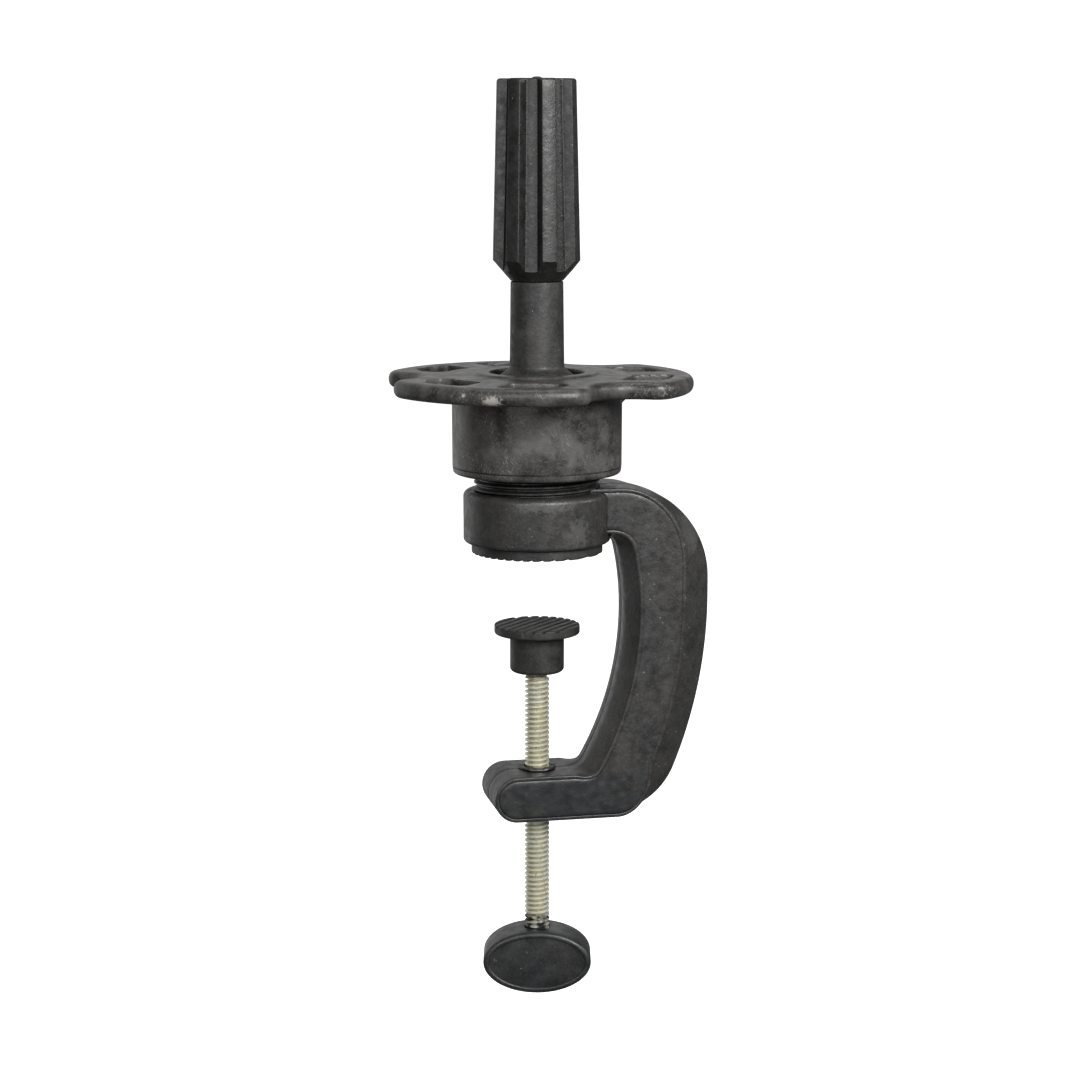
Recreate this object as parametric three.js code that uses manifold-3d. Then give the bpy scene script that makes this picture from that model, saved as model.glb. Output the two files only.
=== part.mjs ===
// Table-clamp holder for a hairdresser's training head: a C-shaped clamp frame with a
// screw and a swivel pad, and above it a lockable ball joint that carries a ribbed spigot.
//
// Millimetres, +Z up. The origin is on the post's axis, in the upper jaw's flat face that
// rests on the table top. +X points from the axis towards the spine of the C.

import * as THREE from 'three';
import { mergeVertices } from 'three/addons/utils/BufferGeometryUtils.js';
import Module from 'manifold-3d';

const wasm = await Module();
wasm.setup();

// Driving dimensions ------------------------------------------------------------------

const GAP = 0.3; // between touching pieces

const LIP_RADIUS = 26.2; // upper jaw pad
const LIP_HEIGHT = 4;
const COLLAR_RADIUS = 29.4;
const COLLAR_TOP = 25;
const NECK_RADIUS = 25.1; // over the neck's thread
const NECK_TOP = 46;

const BALL_CENTRE = 53; // height of the ball joint's centre
const SEAT_RADIUS = 18.6; // domed seat on the neck
const BELL_WALL = 4.1; // the post's bell sits over the seat
const STEM_RADIUS = 9; // the seat's pivot in the neck

const POST_RADIUS = 10.8;
const PEG_RADIUS = 8; // top of the post, inside the spigot
const POST_NARROWING = 0.4; // of its radius, from the bell to the spigot
const SPIGOT_BOTTOM = 108;
const SPIGOT_SHOULDER = 116; // where the lead-in cone meets the ribs
const SPIGOT_TOP = 186;
const SPIGOT_WIDE = 17.4; // over the ribs at the shoulder
const SPIGOT_NARROW = 15.7; // over the ribs at the top
const RIBS = 7;
const FIRST_RIB = -85; // degrees
const RIB_HALF_ANGLE = 9.75;
const GROOVE_HALF_ANGLE = 10; // of a groove's floor
const GROOVE_DEPTH = 3.6;

const WHEEL_RADIUS = 62; // over the rim
const RIM_WIDTH = 7;
const RIM_MIDDLE = 67.7; // height of the rim's middle
const LOBES = 3;
const NOTCH_CENTRE = 63; // distance of each notch's arc from the axis
const NOTCH_RADIUS = 20; // on the rim's middle line
const LOBE_END_RADIUS = 5;
const FIRST_LOBE = -6; // degrees, where the tightened wheel stops
const HOLE_RADIUS = 18.8; // where the post comes through
const SKIRT_RADIUS = 33.8;
const SKIRT_BOTTOM = 32;

const FRAME_HALF_WIDTH = 15; // half the C's width across its plane
const ARM_TOP = 26.5; // upper arm
const ARM_UNDERSIDE = 8.3;
const LOWER_ARM_TOP = -89.1;
const LOWER_ARM_BOTTOM = -107.6;
const SPINE_OUTSIDE = 69.9;
const SPINE_INSIDE = 34.8;
const ARM_END_CENTRE = -10.8; // centre of the lower arm's round end

const SCREW_RADIUS = 5; // 10 mm trapezoidal thread, 2 mm pitch
const PAD_TOP = -29.6;
const PAD_RADIUS = 17.2;
const PAD_THICKNESS = 3.7;
const HUB_RADIUS = 10.9;
const HUB_BOTTOM = -48.9;
const TIP_CENTRE = -41; // centre of the screw's ball tip
const TIP_RADIUS = 4.9;

const KNOB_CENTRE = -168.6;
const KNOB_WIDTH = 44;
const KNOB_HEIGHT = 26;
const KNOB_THICKNESS = 19;
const KNOB_EDGE = 1.6; // rounding between its rim and its faces
const KNOB_TURN = -12; // degrees, where the knob stands about the screw

const FINE = 48; // sides of the large round pieces
const MEDIUM = 36;
const COARSE = 24;

// Materials ---------------------------------------------------------------------------

const plastic = (color, roughness) => new THREE.MeshStandardMaterial({ color, roughness, metalness: 0 });
const metal = (color, roughness) => new THREE.MeshStandardMaterial({ color, roughness, metalness: 1 });

const framePlastic = plastic(0x35363a, 0.6);
const wheelPlastic = plastic(0x303134, 0.5);
const postPlastic = plastic(0x3a3b3e, 0.65);
const spigotPlastic = plastic(0x1f2022, 0.5);
const knobPlastic = plastic(0x1d1e20, 0.45);
const nylon = plastic(0xcfcabb, 0.5);
const rubber = plastic(0x151515, 0.85);
const zincSteel = metal(0xb5b09a, 0.35);

// Geometry helpers --------------------------------------------------------------------

const radians = THREE.MathUtils.degToRad;

// Points on an arc about (across, up), angles in degrees.
function arc(across, up, radius, from, to, steps) {
  return Array.from({ length: steps + 1 }, (_, i) => {
    const angle = radians(from + ((to - from) * i) / steps);
    return [across + radius * Math.cos(angle), up + radius * Math.sin(angle)];
  });
}

const sphereArc = (radius, from, to, steps) => arc(0, BALL_CENTRE, radius, from, to, steps);

// Angle in degrees at which a sphere about the ball centre reaches a height.
const sphereAngle = (radius, height) => THREE.MathUtils.radToDeg(Math.asin((height - BALL_CENTRE) / radius));

// A solid turned about Z from [radius, height] points that run upwards on the outside.
function turned(profile, sides) {
  const points = profile.map(([radius, height]) => new THREE.Vector2(radius, height));
  return new THREE.LatheGeometry(points, sides).rotateX(Math.PI / 2);
}

// A turned ring: its profile closes on itself.
const turnedRing = (profile, sides) => turned([...profile, profile[0]], sides);

const cylinder = (radius, bottom, top, sides) =>
  turned([[0, bottom], [radius, bottom], [radius, top], [0, top]], sides);

const tube = (inner, outer, bottom, top, sides) =>
  turnedRing([[outer, bottom], [outer, top], [inner, top], [inner, bottom]], sides);

function hexPrism(acrossFlats, bottom, top) {
  return cylinder(acrossFlats / Math.sqrt(3), bottom, top, 6);
}

// Skin over rings of equally many points, closed by a fan at each end.
function loft(rings) {
  const count = rings[0].length;
  const points = rings.flat();
  const index = [];
  for (let row = 0; row < rings.length - 1; row += 1) {
    for (let i = 0; i < count; i += 1) {
      const a = row * count + i;
      const b = row * count + ((i + 1) % count);
      index.push(a, b, b + count, a, b + count, a + count);
    }
  }
  const addCap = (ring, first, flip) => {
    const middle = ring.reduce((sum, point) => sum.add(point), new THREE.Vector3());
    points.push(middle.divideScalar(count));
    for (let i = 0; i < count; i += 1) {
      const next = first + ((i + 1) % count);
      index.push(points.length - 1, ...(flip ? [next, first + i] : [first + i, next]));
    }
  };
  addCap(rings[0], 0, true);
  addCap(rings[rings.length - 1], (rings.length - 1) * count, false);
  return new THREE.BufferGeometry().setFromPoints(points).setIndex(index);
}

function toSolid(geometry) {
  const bare = geometry.clone();
  bare.deleteAttribute('normal');
  bare.deleteAttribute('uv');
  const merged = mergeVertices(bare, 1e-4);
  const mesh = new wasm.Mesh({
    numProp: 3,
    vertProperties: new Float32Array(merged.attributes.position.array),
    triVerts: new Uint32Array(merged.index.array),
  });
  return new wasm.Manifold(mesh);
}

function toGeometry(solid) {
  const { vertProperties, triVerts } = solid.getMesh();
  const geometry = new THREE.BufferGeometry();
  geometry.setAttribute('position', new THREE.BufferAttribute(vertProperties, 3));
  geometry.setIndex(new THREE.BufferAttribute(triVerts, 1));
  return geometry;
}

const joined = (...geometries) => toGeometry(geometries.map(toSolid).reduce((a, b) => a.add(b)));

const cut = (body, ...tools) =>
  toGeometry(tools.map(toSolid).reduce((rest, tool) => rest.subtract(tool), toSolid(body)));

function extruded(shape, bottom, top, curveSegments) {
  const options = { depth: top - bottom, bevelEnabled: false, curveSegments };
  return new THREE.ExtrudeGeometry(shape, options).translate(0, 0, bottom);
}

// The C-shaped frame ------------------------------------------------------------------

const SHOULDER_CENTRE = 31; // distance of the upper bend's centre from the axis
const SHOULDER_RADIUS = SPINE_OUTSIDE - SHOULDER_CENTRE;
const SPINE_RADIUS = 185; // outside of the spine's long curve
const HEEL_RADIUS = 28; // outside of the lower bend
const SPINE_STRAIGHT_END = -20; // where the outside's long curve starts
const INSIDE_UPPER_RADIUS = 115;
const INSIDE_LOWER_RADIUS = 125;
const INSIDE_WIDEST = -24; // height where the inside is furthest out
const INSIDE_FILLETS = [9, 8]; // upper and lower inside corners
const OUTER_SLOPE = 12; // how far the side faces stop short of the outside
const INNER_SLOPE = 4.3; // and of the inside
const SEAM_HALF_WIDTH = 4; // flat along the parting line
const BEND_STEPS = 9;
const SPINE_STEPS = 10;

const smooth = (t) => THREE.MathUtils.smoothstep(t, 0, 1);

// Angle (degrees) and centre of a corner arc that touches a long arc and a level line.
function cornerArc(longCentre, longRadius, radius, level, side) {
  const up = level - side * radius;
  const rise = up - longCentre[1];
  const reach = longRadius - radius;
  const across = longCentre[0] + Math.sqrt(reach * reach - rise * rise);
  return { centre: [across, up], radius, angle: THREE.MathUtils.radToDeg(Math.asin(rise / reach)) };
}

// Stations along the C: outside and inside points with the two slopes' widths.
function frameStations() {
  const outsideCentre = [SPINE_OUTSIDE - SPINE_RADIUS, SPINE_STRAIGHT_END];
  const upperCentre = [SPINE_INSIDE - INSIDE_UPPER_RADIUS, INSIDE_WIDEST];
  const lowerCentre = [SPINE_INSIDE - INSIDE_LOWER_RADIUS, INSIDE_WIDEST];
  const heel = cornerArc(outsideCentre, SPINE_RADIUS, HEEL_RADIUS, LOWER_ARM_BOTTOM, -1);
  const upper = cornerArc(upperCentre, INSIDE_UPPER_RADIUS, INSIDE_FILLETS[0], ARM_UNDERSIDE, 1);
  const lower = cornerArc(lowerCentre, INSIDE_LOWER_RADIUS, INSIDE_FILLETS[1], LOWER_ARM_TOP, -1);
  const shoulderCentre = [SHOULDER_CENTRE, ARM_TOP - SHOULDER_RADIUS];
  const root = COLLAR_RADIUS - 10;

  const bend = BEND_STEPS;
  const spine = SPINE_STEPS;
  const straight = Math.round(spine / 2);
  const drop = (shoulderCentre[1] - SPINE_STRAIGHT_END) / straight;
  const outside = [
    [root, ARM_TOP],
    ...arc(...shoulderCentre, SHOULDER_RADIUS, 90, 0, bend),
    ...Array.from({ length: straight }, (_, i) => [SPINE_OUTSIDE, shoulderCentre[1] - drop * (i + 1)]),
    ...arc(...outsideCentre, SPINE_RADIUS, 0, heel.angle, spine).slice(1),
    ...arc(...heel.centre, HEEL_RADIUS, heel.angle, -90, bend).slice(1),
    [ARM_END_CENTRE, LOWER_ARM_BOTTOM],
  ];
  const inside = [
    [root, ARM_UNDERSIDE],
    ...arc(...upper.centre, upper.radius, 90, upper.angle, bend),
    ...arc(...upperCentre, INSIDE_UPPER_RADIUS, upper.angle, 0, straight).slice(1),
    ...arc(...lowerCentre, INSIDE_LOWER_RADIUS, 0, lower.angle, spine).slice(1),
    ...arc(...lower.centre, lower.radius, lower.angle, -90, bend).slice(1),
    [ARM_END_CENTRE, LOWER_ARM_TOP],
  ];
  const lastBend = bend + straight + spine + 1;
  return outside.map((out, i) => {
    const swell = smooth((i - 1) / bend) * (1 - smooth((i - lastBend) / bend));
    return { out, in: inside[i], outerSlope: OUTER_SLOPE * swell, innerSlope: INNER_SLOPE * swell };
  });
}

// Eight-cornered section of the C at one station.
function frameSection(station) {
  const out = new THREE.Vector3(station.out[0], 0, station.out[1]);
  const inner = new THREE.Vector3(station.in[0], 0, station.in[1]);
  const along = out.clone().sub(inner).normalize();
  const corner = (from, distance, y) => from.clone().addScaledVector(along, distance).setY(y);
  const back = [
    corner(inner, 0, SEAM_HALF_WIDTH),
    corner(inner, station.innerSlope, FRAME_HALF_WIDTH),
    corner(out, -station.outerSlope, FRAME_HALF_WIDTH),
    corner(out, 0, SEAM_HALF_WIDTH),
  ];
  const front = back.map((point) => point.clone().setY(-point.y)).reverse();
  return [...back, ...front];
}

const NUT_FLATS = 16.4;
const NUT_TOP = -94.3;
const NUT_BOTTOM = -103.3;
const BUSH_RADIUS = 6.7;
const SEAT_CLIP_ROOM = 13; // radius of the recess under the neck
const SEAT_CLIP_SHOULDER = 14; // its ceiling

function frameGeometry() {
  const collarBottom = LIP_HEIGHT + GAP;
  const collar = turned(
    [
      [0, collarBottom],
      [COLLAR_RADIUS - 1.5, collarBottom],
      [COLLAR_RADIUS, collarBottom + 1.5],
      ...arc(COLLAR_RADIUS - 2.5, COLLAR_TOP - 2.5, 2.5, 0, 90, 3),
      [NECK_RADIUS, COLLAR_TOP],
      [NECK_RADIUS, NECK_TOP - 1],
      [NECK_RADIUS - 1, NECK_TOP],
      [0, NECK_TOP],
    ],
    FINE,
  );
  const armMiddle = (LOWER_ARM_TOP + LOWER_ARM_BOTTOM) / 2;
  const armRadius = (LOWER_ARM_TOP - LOWER_ARM_BOTTOM) / 2;
  const armEnd = new THREE.CylinderGeometry(armRadius, armRadius, 2 * FRAME_HALF_WIDTH, COARSE);
  armEnd.translate(ARM_END_CENTRE, 0, armMiddle);
  const body = joined(collar, loft(frameStations().map(frameSection)), armEnd);
  return cut(
    body,
    cylinder(STEM_RADIUS + GAP, SEAT_CLIP_SHOULDER - 1, NECK_TOP + 1, COARSE),
    cylinder(SEAT_CLIP_ROOM, 0, SEAT_CLIP_SHOULDER, COARSE),
    cylinder(BUSH_RADIUS + GAP, NUT_TOP, LOWER_ARM_TOP + 1, COARSE),
    hexPrism(NUT_FLATS + 2 * GAP, LOWER_ARM_BOTTOM - 1, NUT_TOP + GAP),
  );
}

function upperJawPadGeometry() {
  const register = SEAT_CLIP_ROOM - GAP;
  return turned(
    [[0, 0], [LIP_RADIUS - 0.6, 0], [LIP_RADIUS, 0.6], [LIP_RADIUS, LIP_HEIGHT], [register, LIP_HEIGHT],
      [register, LIP_HEIGHT + 4], [0, LIP_HEIGHT + 4]],
    MEDIUM,
  );
}

// The nut, its plug and its bush in the lower arm ---------------------------------------

const screwHole = (bottom, top) => cylinder(SCREW_RADIUS + GAP, bottom, top, COARSE);

const armNutGeometry = () =>
  cut(hexPrism(NUT_FLATS, NUT_BOTTOM, NUT_TOP), screwHole(NUT_BOTTOM - 1, NUT_TOP + 1));

const PLUG_BOSS_HEIGHT = 1.8;

function nutPlugGeometry() {
  const bottom = LOWER_ARM_BOTTOM - PLUG_BOSS_HEIGHT;
  const boss = turned(
    [[0, bottom], [SCREW_RADIUS + 1, bottom], [SCREW_RADIUS + 1.8, bottom + 0.8],
      [SCREW_RADIUS + 1.8, LOWER_ARM_BOTTOM + 0.5], [0, LOWER_ARM_BOTTOM + 0.5]],
    COARSE,
  );
  const plug = hexPrism(NUT_FLATS, LOWER_ARM_BOTTOM, NUT_BOTTOM - GAP);
  return cut(joined(plug, boss), screwHole(bottom - 1, NUT_BOTTOM));
}

function topBushGeometry() {
  const inner = SCREW_RADIUS + GAP;
  const flangeBottom = LOWER_ARM_TOP + GAP;
  return turnedRing(
    [[BUSH_RADIUS, NUT_TOP + GAP], [BUSH_RADIUS, flangeBottom], [BUSH_RADIUS + 0.9, flangeBottom],
      [BUSH_RADIUS + 0.5, flangeBottom + 0.9], [inner, flangeBottom + 0.9], [inner, NUT_TOP + GAP]],
    COARSE,
  );
}

// The ball joint ------------------------------------------------------------------------

const SEAT_FLOOR = 47.8; // underside of the domed seat
const SEAT_CLIP_TOP = SEAT_CLIP_SHOULDER - GAP;
const SEAT_CLIP_THICKNESS = 1.5;
const CLIP_GROOVE_RADIUS = 7.4;
const STEM_BOTTOM = 10;

const seatWasherGeometry = () =>
  tube(STEM_RADIUS + GAP, SEAT_RADIUS - 1.6, NECK_TOP + GAP, SEAT_FLOOR - GAP, MEDIUM);

function ballSeatGeometry() {
  const grooveTop = SEAT_CLIP_TOP + GAP / 2;
  const grooveBottom = SEAT_CLIP_TOP - SEAT_CLIP_THICKNESS - GAP / 2;
  return turned(
    [
      [0, STEM_BOTTOM],
      [STEM_RADIUS, STEM_BOTTOM],
      [STEM_RADIUS, grooveBottom],
      [CLIP_GROOVE_RADIUS, grooveBottom],
      [CLIP_GROOVE_RADIUS, grooveTop],
      [STEM_RADIUS, grooveTop],
      [STEM_RADIUS, SEAT_FLOOR],
      ...sphereArc(SEAT_RADIUS, sphereAngle(SEAT_RADIUS, SEAT_FLOOR), 90, 8).slice(0, -1),
      [0, BALL_CENTRE + SEAT_RADIUS],
    ],
    MEDIUM,
  );
}

// A split spring ring: the gap lets it snap into its groove.
function splitRing(inner, outer, bottom, top) {
  const slot = new THREE.BoxGeometry(outer, 3, top - bottom + 2);
  slot.translate(outer / 2 + inner / 2, 0, (bottom + top) / 2);
  return cut(tube(inner, outer, bottom, top, COARSE), slot);
}

const seatClipGeometry = () =>
  splitRing(CLIP_GROOVE_RADIUS + GAP, 12, SEAT_CLIP_TOP - SEAT_CLIP_THICKNESS, SEAT_CLIP_TOP);

const BELL_INSIDE = SEAT_RADIUS + GAP;
const BELL_OUTSIDE = BELL_INSIDE + BELL_WALL;
const BELL_BOTTOM_ANGLE = 2.5; // the bell stops just above the ball's middle
const BOLT_RADIUS = 4;
const BOLT_HEAD_RADIUS = 6.5;
const BOLT_POCKET_RADIUS = 7.6;
const BOLT_POCKET_TOP = 82.4;
const WASHER_THICKNESS = 1.6;
const PEG_TOP = 160;

function postGeometry() {
  const joinAngle = THREE.MathUtils.radToDeg(Math.acos(POST_RADIUS / BELL_OUTSIDE));
  const pocketAngle = THREE.MathUtils.radToDeg(Math.acos(BOLT_POCKET_RADIUS / BELL_INSIDE));
  const hole = BOLT_RADIUS + GAP;
  return turnedRing(
    [
      ...sphereArc(BELL_OUTSIDE, BELL_BOTTOM_ANGLE, joinAngle, 6),
      [POST_RADIUS - POST_NARROWING, SPIGOT_BOTTOM - GAP],
      [PEG_RADIUS, SPIGOT_BOTTOM - GAP],
      [PEG_RADIUS, PEG_TOP],
      [hole, PEG_TOP],
      [hole, BOLT_POCKET_TOP],
      [BOLT_POCKET_RADIUS, BOLT_POCKET_TOP],
      ...sphereArc(BELL_INSIDE, pocketAngle, BELL_BOTTOM_ANGLE, 6),
    ],
    MEDIUM,
  );
}

const BOLT_HEAD_HEIGHT = 7.4;
const BOLT_TOP = 172;

function postBoltGeometry() {
  const headTop = BOLT_POCKET_TOP - WASHER_THICKNESS - 2 * GAP;
  const headBottom = headTop - BOLT_HEAD_HEIGHT;
  return turned(
    [[0, headBottom], [BOLT_HEAD_RADIUS - 0.8, headBottom], [BOLT_HEAD_RADIUS, headBottom + 0.8],
      [BOLT_HEAD_RADIUS, headTop], [BOLT_RADIUS, headTop], [BOLT_RADIUS, BOLT_TOP - 1],
      [BOLT_RADIUS - 1, BOLT_TOP], [0, BOLT_TOP]],
    COARSE,
  );
}

function boltWasherGeometry() {
  const top = BOLT_POCKET_TOP - GAP;
  return tube(BOLT_RADIUS + GAP, BOLT_POCKET_RADIUS - GAP, top - WASHER_THICKNESS, top, COARSE);
}

// The ribbed spigot ---------------------------------------------------------------------

const SPIGOT_NUT_FLATS = 13;
const SPIGOT_NUT_BOTTOM = PEG_TOP + 1;
const SPIGOT_NUT_HEIGHT = 6.5;

// One ring of the spigot, ribs and grooves round the circle.
function spigotRing(height, ribRadius, floorRadius) {
  const pitch = 360 / RIBS;
  const corners = [
    [-RIB_HALF_ANGLE, ribRadius],
    [0, ribRadius],
    [RIB_HALF_ANGLE, ribRadius],
    [pitch / 2 - GROOVE_HALF_ANGLE, floorRadius],
    [pitch / 2, floorRadius],
    [pitch / 2 + GROOVE_HALF_ANGLE, floorRadius],
  ];
  return Array.from({ length: RIBS }, (_, rib) => FIRST_RIB + rib * pitch).flatMap((middle) =>
    corners.map(([angle, radius]) => {
      const turn = radians(middle + angle);
      return new THREE.Vector3(radius * Math.cos(turn), radius * Math.sin(turn), height);
    }),
  );
}

function spigotGeometry() {
  const edge = 1.2; // rounding at the top
  const foot = POST_RADIUS - POST_NARROWING;
  const floor = SPIGOT_WIDE - GROOVE_DEPTH;
  const coneShare = (floor - foot) / (SPIGOT_WIDE - foot);
  const floorStart = SPIGOT_BOTTOM + coneShare * (SPIGOT_SHOULDER - SPIGOT_BOTTOM);
  const topFloor = SPIGOT_NARROW - GROOVE_DEPTH;
  const body = loft([
    spigotRing(SPIGOT_BOTTOM, foot, foot),
    spigotRing(floorStart, floor, floor),
    spigotRing(SPIGOT_SHOULDER, SPIGOT_WIDE, floor),
    spigotRing(SPIGOT_TOP - edge, SPIGOT_NARROW, topFloor),
    spigotRing(SPIGOT_TOP, SPIGOT_NARROW - edge, topFloor - edge / 4),
  ]);
  const nutTop = SPIGOT_NUT_BOTTOM + SPIGOT_NUT_HEIGHT + GAP;
  return cut(
    body,
    cylinder(PEG_RADIUS + GAP, SPIGOT_BOTTOM - 1, SPIGOT_NUT_BOTTOM - GAP, COARSE),
    hexPrism(SPIGOT_NUT_FLATS + 2 * GAP, SPIGOT_NUT_BOTTOM - 2 * GAP, nutTop),
    cylinder(BOLT_RADIUS + GAP, nutTop - 1, BOLT_TOP + 2, COARSE),
  );
}

function spigotNutGeometry() {
  const top = SPIGOT_NUT_BOTTOM + SPIGOT_NUT_HEIGHT;
  const hole = cylinder(BOLT_RADIUS + GAP, SPIGOT_NUT_BOTTOM - 1, top + 1, COARSE);
  return cut(hexPrism(SPIGOT_NUT_FLATS, SPIGOT_NUT_BOTTOM, top), hole);
}

// The lock wheel --------------------------------------------------------------------------

const RIM_ROUNDING = 2.2;
const WEB_BOTTOM = 65;
const WEB_TOP = 71;
const RING_TOP = 72; // raised ring round the hole
const RING_RADIUS = 24;
const WHEEL_BORE = NECK_RADIUS + GAP;
const LOBE_CENTRE_RADIUS = WHEEL_RADIUS - RIM_WIDTH / 2; // rim's middle line on a lobe

// The arc at a lobe's end touches the lobe's arc and the notch's arc. Returns the angle at
// the axis from the notch's middle to the end's centre, and the angle of the line that joins
// the two arcs' centres.
function lobeEndAngles() {
  const reach = LOBE_CENTRE_RADIUS - LOBE_END_RADIUS;
  const between = NOTCH_RADIUS + LOBE_END_RADIUS;
  const cosine = (reach ** 2 + NOTCH_CENTRE ** 2 - between ** 2) / (2 * reach * NOTCH_CENTRE);
  const half = Math.acos(cosine);
  return [half, Math.asin((reach * Math.sin(half)) / between)];
}

// Outline of the three lobes, moved out from the rim's middle line by an offset.
function lobeOutline(path, offset) {
  const [half, lean] = lobeEndAngles();
  const reach = LOBE_CENTRE_RADIUS - LOBE_END_RADIUS;
  const pitch = (2 * Math.PI) / LOBES;
  const turn = (distance, direction, radius, from, to, clockwise) =>
    path.absarc(distance * Math.cos(direction), distance * Math.sin(direction), radius, from, to, clockwise);
  for (let lobe = 0; lobe < LOBES; lobe += 1) {
    const notch = (lobe + 0.5) * pitch;
    const end = LOBE_END_RADIUS + offset;
    turn(0, 0, LOBE_CENTRE_RADIUS + offset, notch - pitch + half, notch - half, false);
    turn(reach, notch - half, end, notch - half, notch + lean, false);
    turn(NOTCH_CENTRE, notch, NOTCH_RADIUS - offset, notch + Math.PI + lean, notch + Math.PI - lean, true);
    turn(reach, notch + half, end, notch - lean, notch + half, false);
  }
  return path;
}

function rimGeometry() {
  const inset = RIM_WIDTH / 2 - RIM_ROUNDING;
  const shape = lobeOutline(new THREE.Shape(), inset);
  shape.holes.push(lobeOutline(new THREE.Path(), -inset));
  const depth = RIM_WIDTH - 2 * RIM_ROUNDING;
  const rim = new THREE.ExtrudeGeometry(shape, {
    depth,
    bevelThickness: RIM_ROUNDING,
    bevelSize: RIM_ROUNDING,
    bevelSegments: 2,
    curveSegments: 6,
  });
  return rim.translate(0, 0, RIM_MIDDLE - depth / 2);
}

const OPENING_INSIDE = 38;
const OPENING_OUTSIDE = 54;
const OPENING_START = 8; // degrees from the lobe's middle
const OPENING_END = 38;

// One finger opening of the web, on the given side (+1 or -1) of a lobe's middle.
function openingShape(middle, side) {
  const at = (distance, angle) => {
    const turn = radians(middle + side * angle);
    return new THREE.Vector2(distance * Math.cos(turn), distance * Math.sin(turn));
  };
  const rounded = new THREE.SplineCurve([
    at(OPENING_OUTSIDE - 1, OPENING_END - 10),
    at(OPENING_OUTSIDE - 3.5, OPENING_END - 3),
    at(OPENING_OUTSIDE - 8, OPENING_END),
    at(OPENING_INSIDE + 4, OPENING_END + 3),
    at(OPENING_INSIDE + 0.5, OPENING_END),
  ]);
  return new THREE.Shape([
    at(OPENING_INSIDE, OPENING_START + 4),
    at(OPENING_INSIDE + 2, OPENING_START + 1),
    at(OPENING_OUTSIDE - 2, OPENING_START - 1),
    at(OPENING_OUTSIDE, OPENING_START + 1),
    at(OPENING_OUTSIDE, OPENING_START + 10),
    ...rounded.getPoints(8),
    at(OPENING_INSIDE, OPENING_END - 12),
  ]);
}

function skirtGeometry() {
  return turnedRing(
    [
      [WHEEL_BORE + 1, SKIRT_BOTTOM],
      [SKIRT_RADIUS - 1.6, SKIRT_BOTTOM],
      [SKIRT_RADIUS - 0.5, SKIRT_BOTTOM + 1],
      [SKIRT_RADIUS, WEB_BOTTOM],
      [SKIRT_RADIUS, WEB_TOP - 0.2],
      [RING_RADIUS + 1, WEB_TOP - 0.2],
      [RING_RADIUS, RING_TOP],
      [HOLE_RADIUS, RING_TOP],
      [HOLE_RADIUS, WEB_BOTTOM],
      [WHEEL_BORE, WEB_BOTTOM],
      [WHEEL_BORE, SKIRT_BOTTOM + 1],
    ],
    FINE,
  );
}

// A three-cornered rib between the skirt and the web, under the middle of a lobe.
function gussetGeometry(angle) {
  const reach = 40;
  const depth = 8;
  const thickness = 3;
  const shape = new THREE.Shape([
    new THREE.Vector2(SKIRT_RADIUS - 2, WEB_BOTTOM - depth),
    new THREE.Vector2(reach, WEB_BOTTOM + 0.5),
    new THREE.Vector2(SKIRT_RADIUS - 2, WEB_BOTTOM + 0.5),
  ]);
  return extruded(shape, -thickness / 2, thickness / 2, 1).rotateX(Math.PI / 2).rotateZ(radians(angle));
}

function lockWheelGeometry() {
  const web = lobeOutline(new THREE.Shape(), 0);
  web.holes.push(new THREE.Path().absarc(0, 0, SKIRT_RADIUS - 1.5, 0, 2 * Math.PI));
  const lobes = Array.from({ length: LOBES }, (_, i) => (i * 360) / LOBES);
  const openings = lobes.flatMap((middle) => [1, -1].map((side) => openingShape(middle, side)));
  const solid = joined(
    rimGeometry(),
    extruded(web, WEB_BOTTOM, WEB_TOP, 6),
    skirtGeometry(),
    ...lobes.map(gussetGeometry),
  );
  const ballRoom = turned(
    [[0, BALL_CENTRE], ...sphereArc(BELL_OUTSIDE + GAP, 10, 80, 8), [0, RING_TOP + 5]],
    FINE,
  );
  const holes = openings.map((shape) => extruded(shape, WEB_BOTTOM - 3, WEB_TOP + 6, 1));
  return cut(solid, ballRoom, ...holes).rotateZ(radians(FIRST_LOBE));
}

// The ring that presses the bell down when the wheel is turned.
function pressureRingGeometry() {
  const inside = BELL_OUTSIDE + GAP;
  const top = WEB_BOTTOM - GAP;
  const bottom = 57.5;
  return turnedRing(
    [
      [WHEEL_BORE - 0.4, bottom],
      [WHEEL_BORE - 0.4, top],
      ...sphereArc(inside, sphereAngle(inside, top), sphereAngle(inside, bottom), 4),
    ],
    FINE,
  );
}

// The screw, the swivel pad and the knob -------------------------------------------------

const TIP_NECK_RADIUS = 3;
const THREAD_TOP = -50.4;
const SCREW_BOTTOM = -174;
const FLATTENED_RADIUS = 4.2; // end of the screw inside the knob
const KNOB_MOUTH = -157.5;

function clampScrewGeometry() {
  const neckAngle = THREE.MathUtils.radToDeg(Math.asin(TIP_NECK_RADIUS / TIP_RADIUS)) - 90;
  return turned(
    [
      [0, SCREW_BOTTOM],
      [FLATTENED_RADIUS, SCREW_BOTTOM],
      [FLATTENED_RADIUS, KNOB_MOUTH - 4],
      [SCREW_RADIUS, KNOB_MOUTH - 3],
      [SCREW_RADIUS, THREAD_TOP - 1],
      [SCREW_RADIUS - 1, THREAD_TOP],
      [TIP_NECK_RADIUS, THREAD_TOP],
      ...arc(0, TIP_CENTRE, TIP_RADIUS, neckAngle, 90, 8).slice(0, -1),
      [0, TIP_CENTRE + TIP_RADIUS],
    ],
    COARSE,
  );
}

const SOCKET_RADIUS = 7;
const SOCKET_TOP = -35.3;
const SOCKET_BOTTOM = -46.4;

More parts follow.
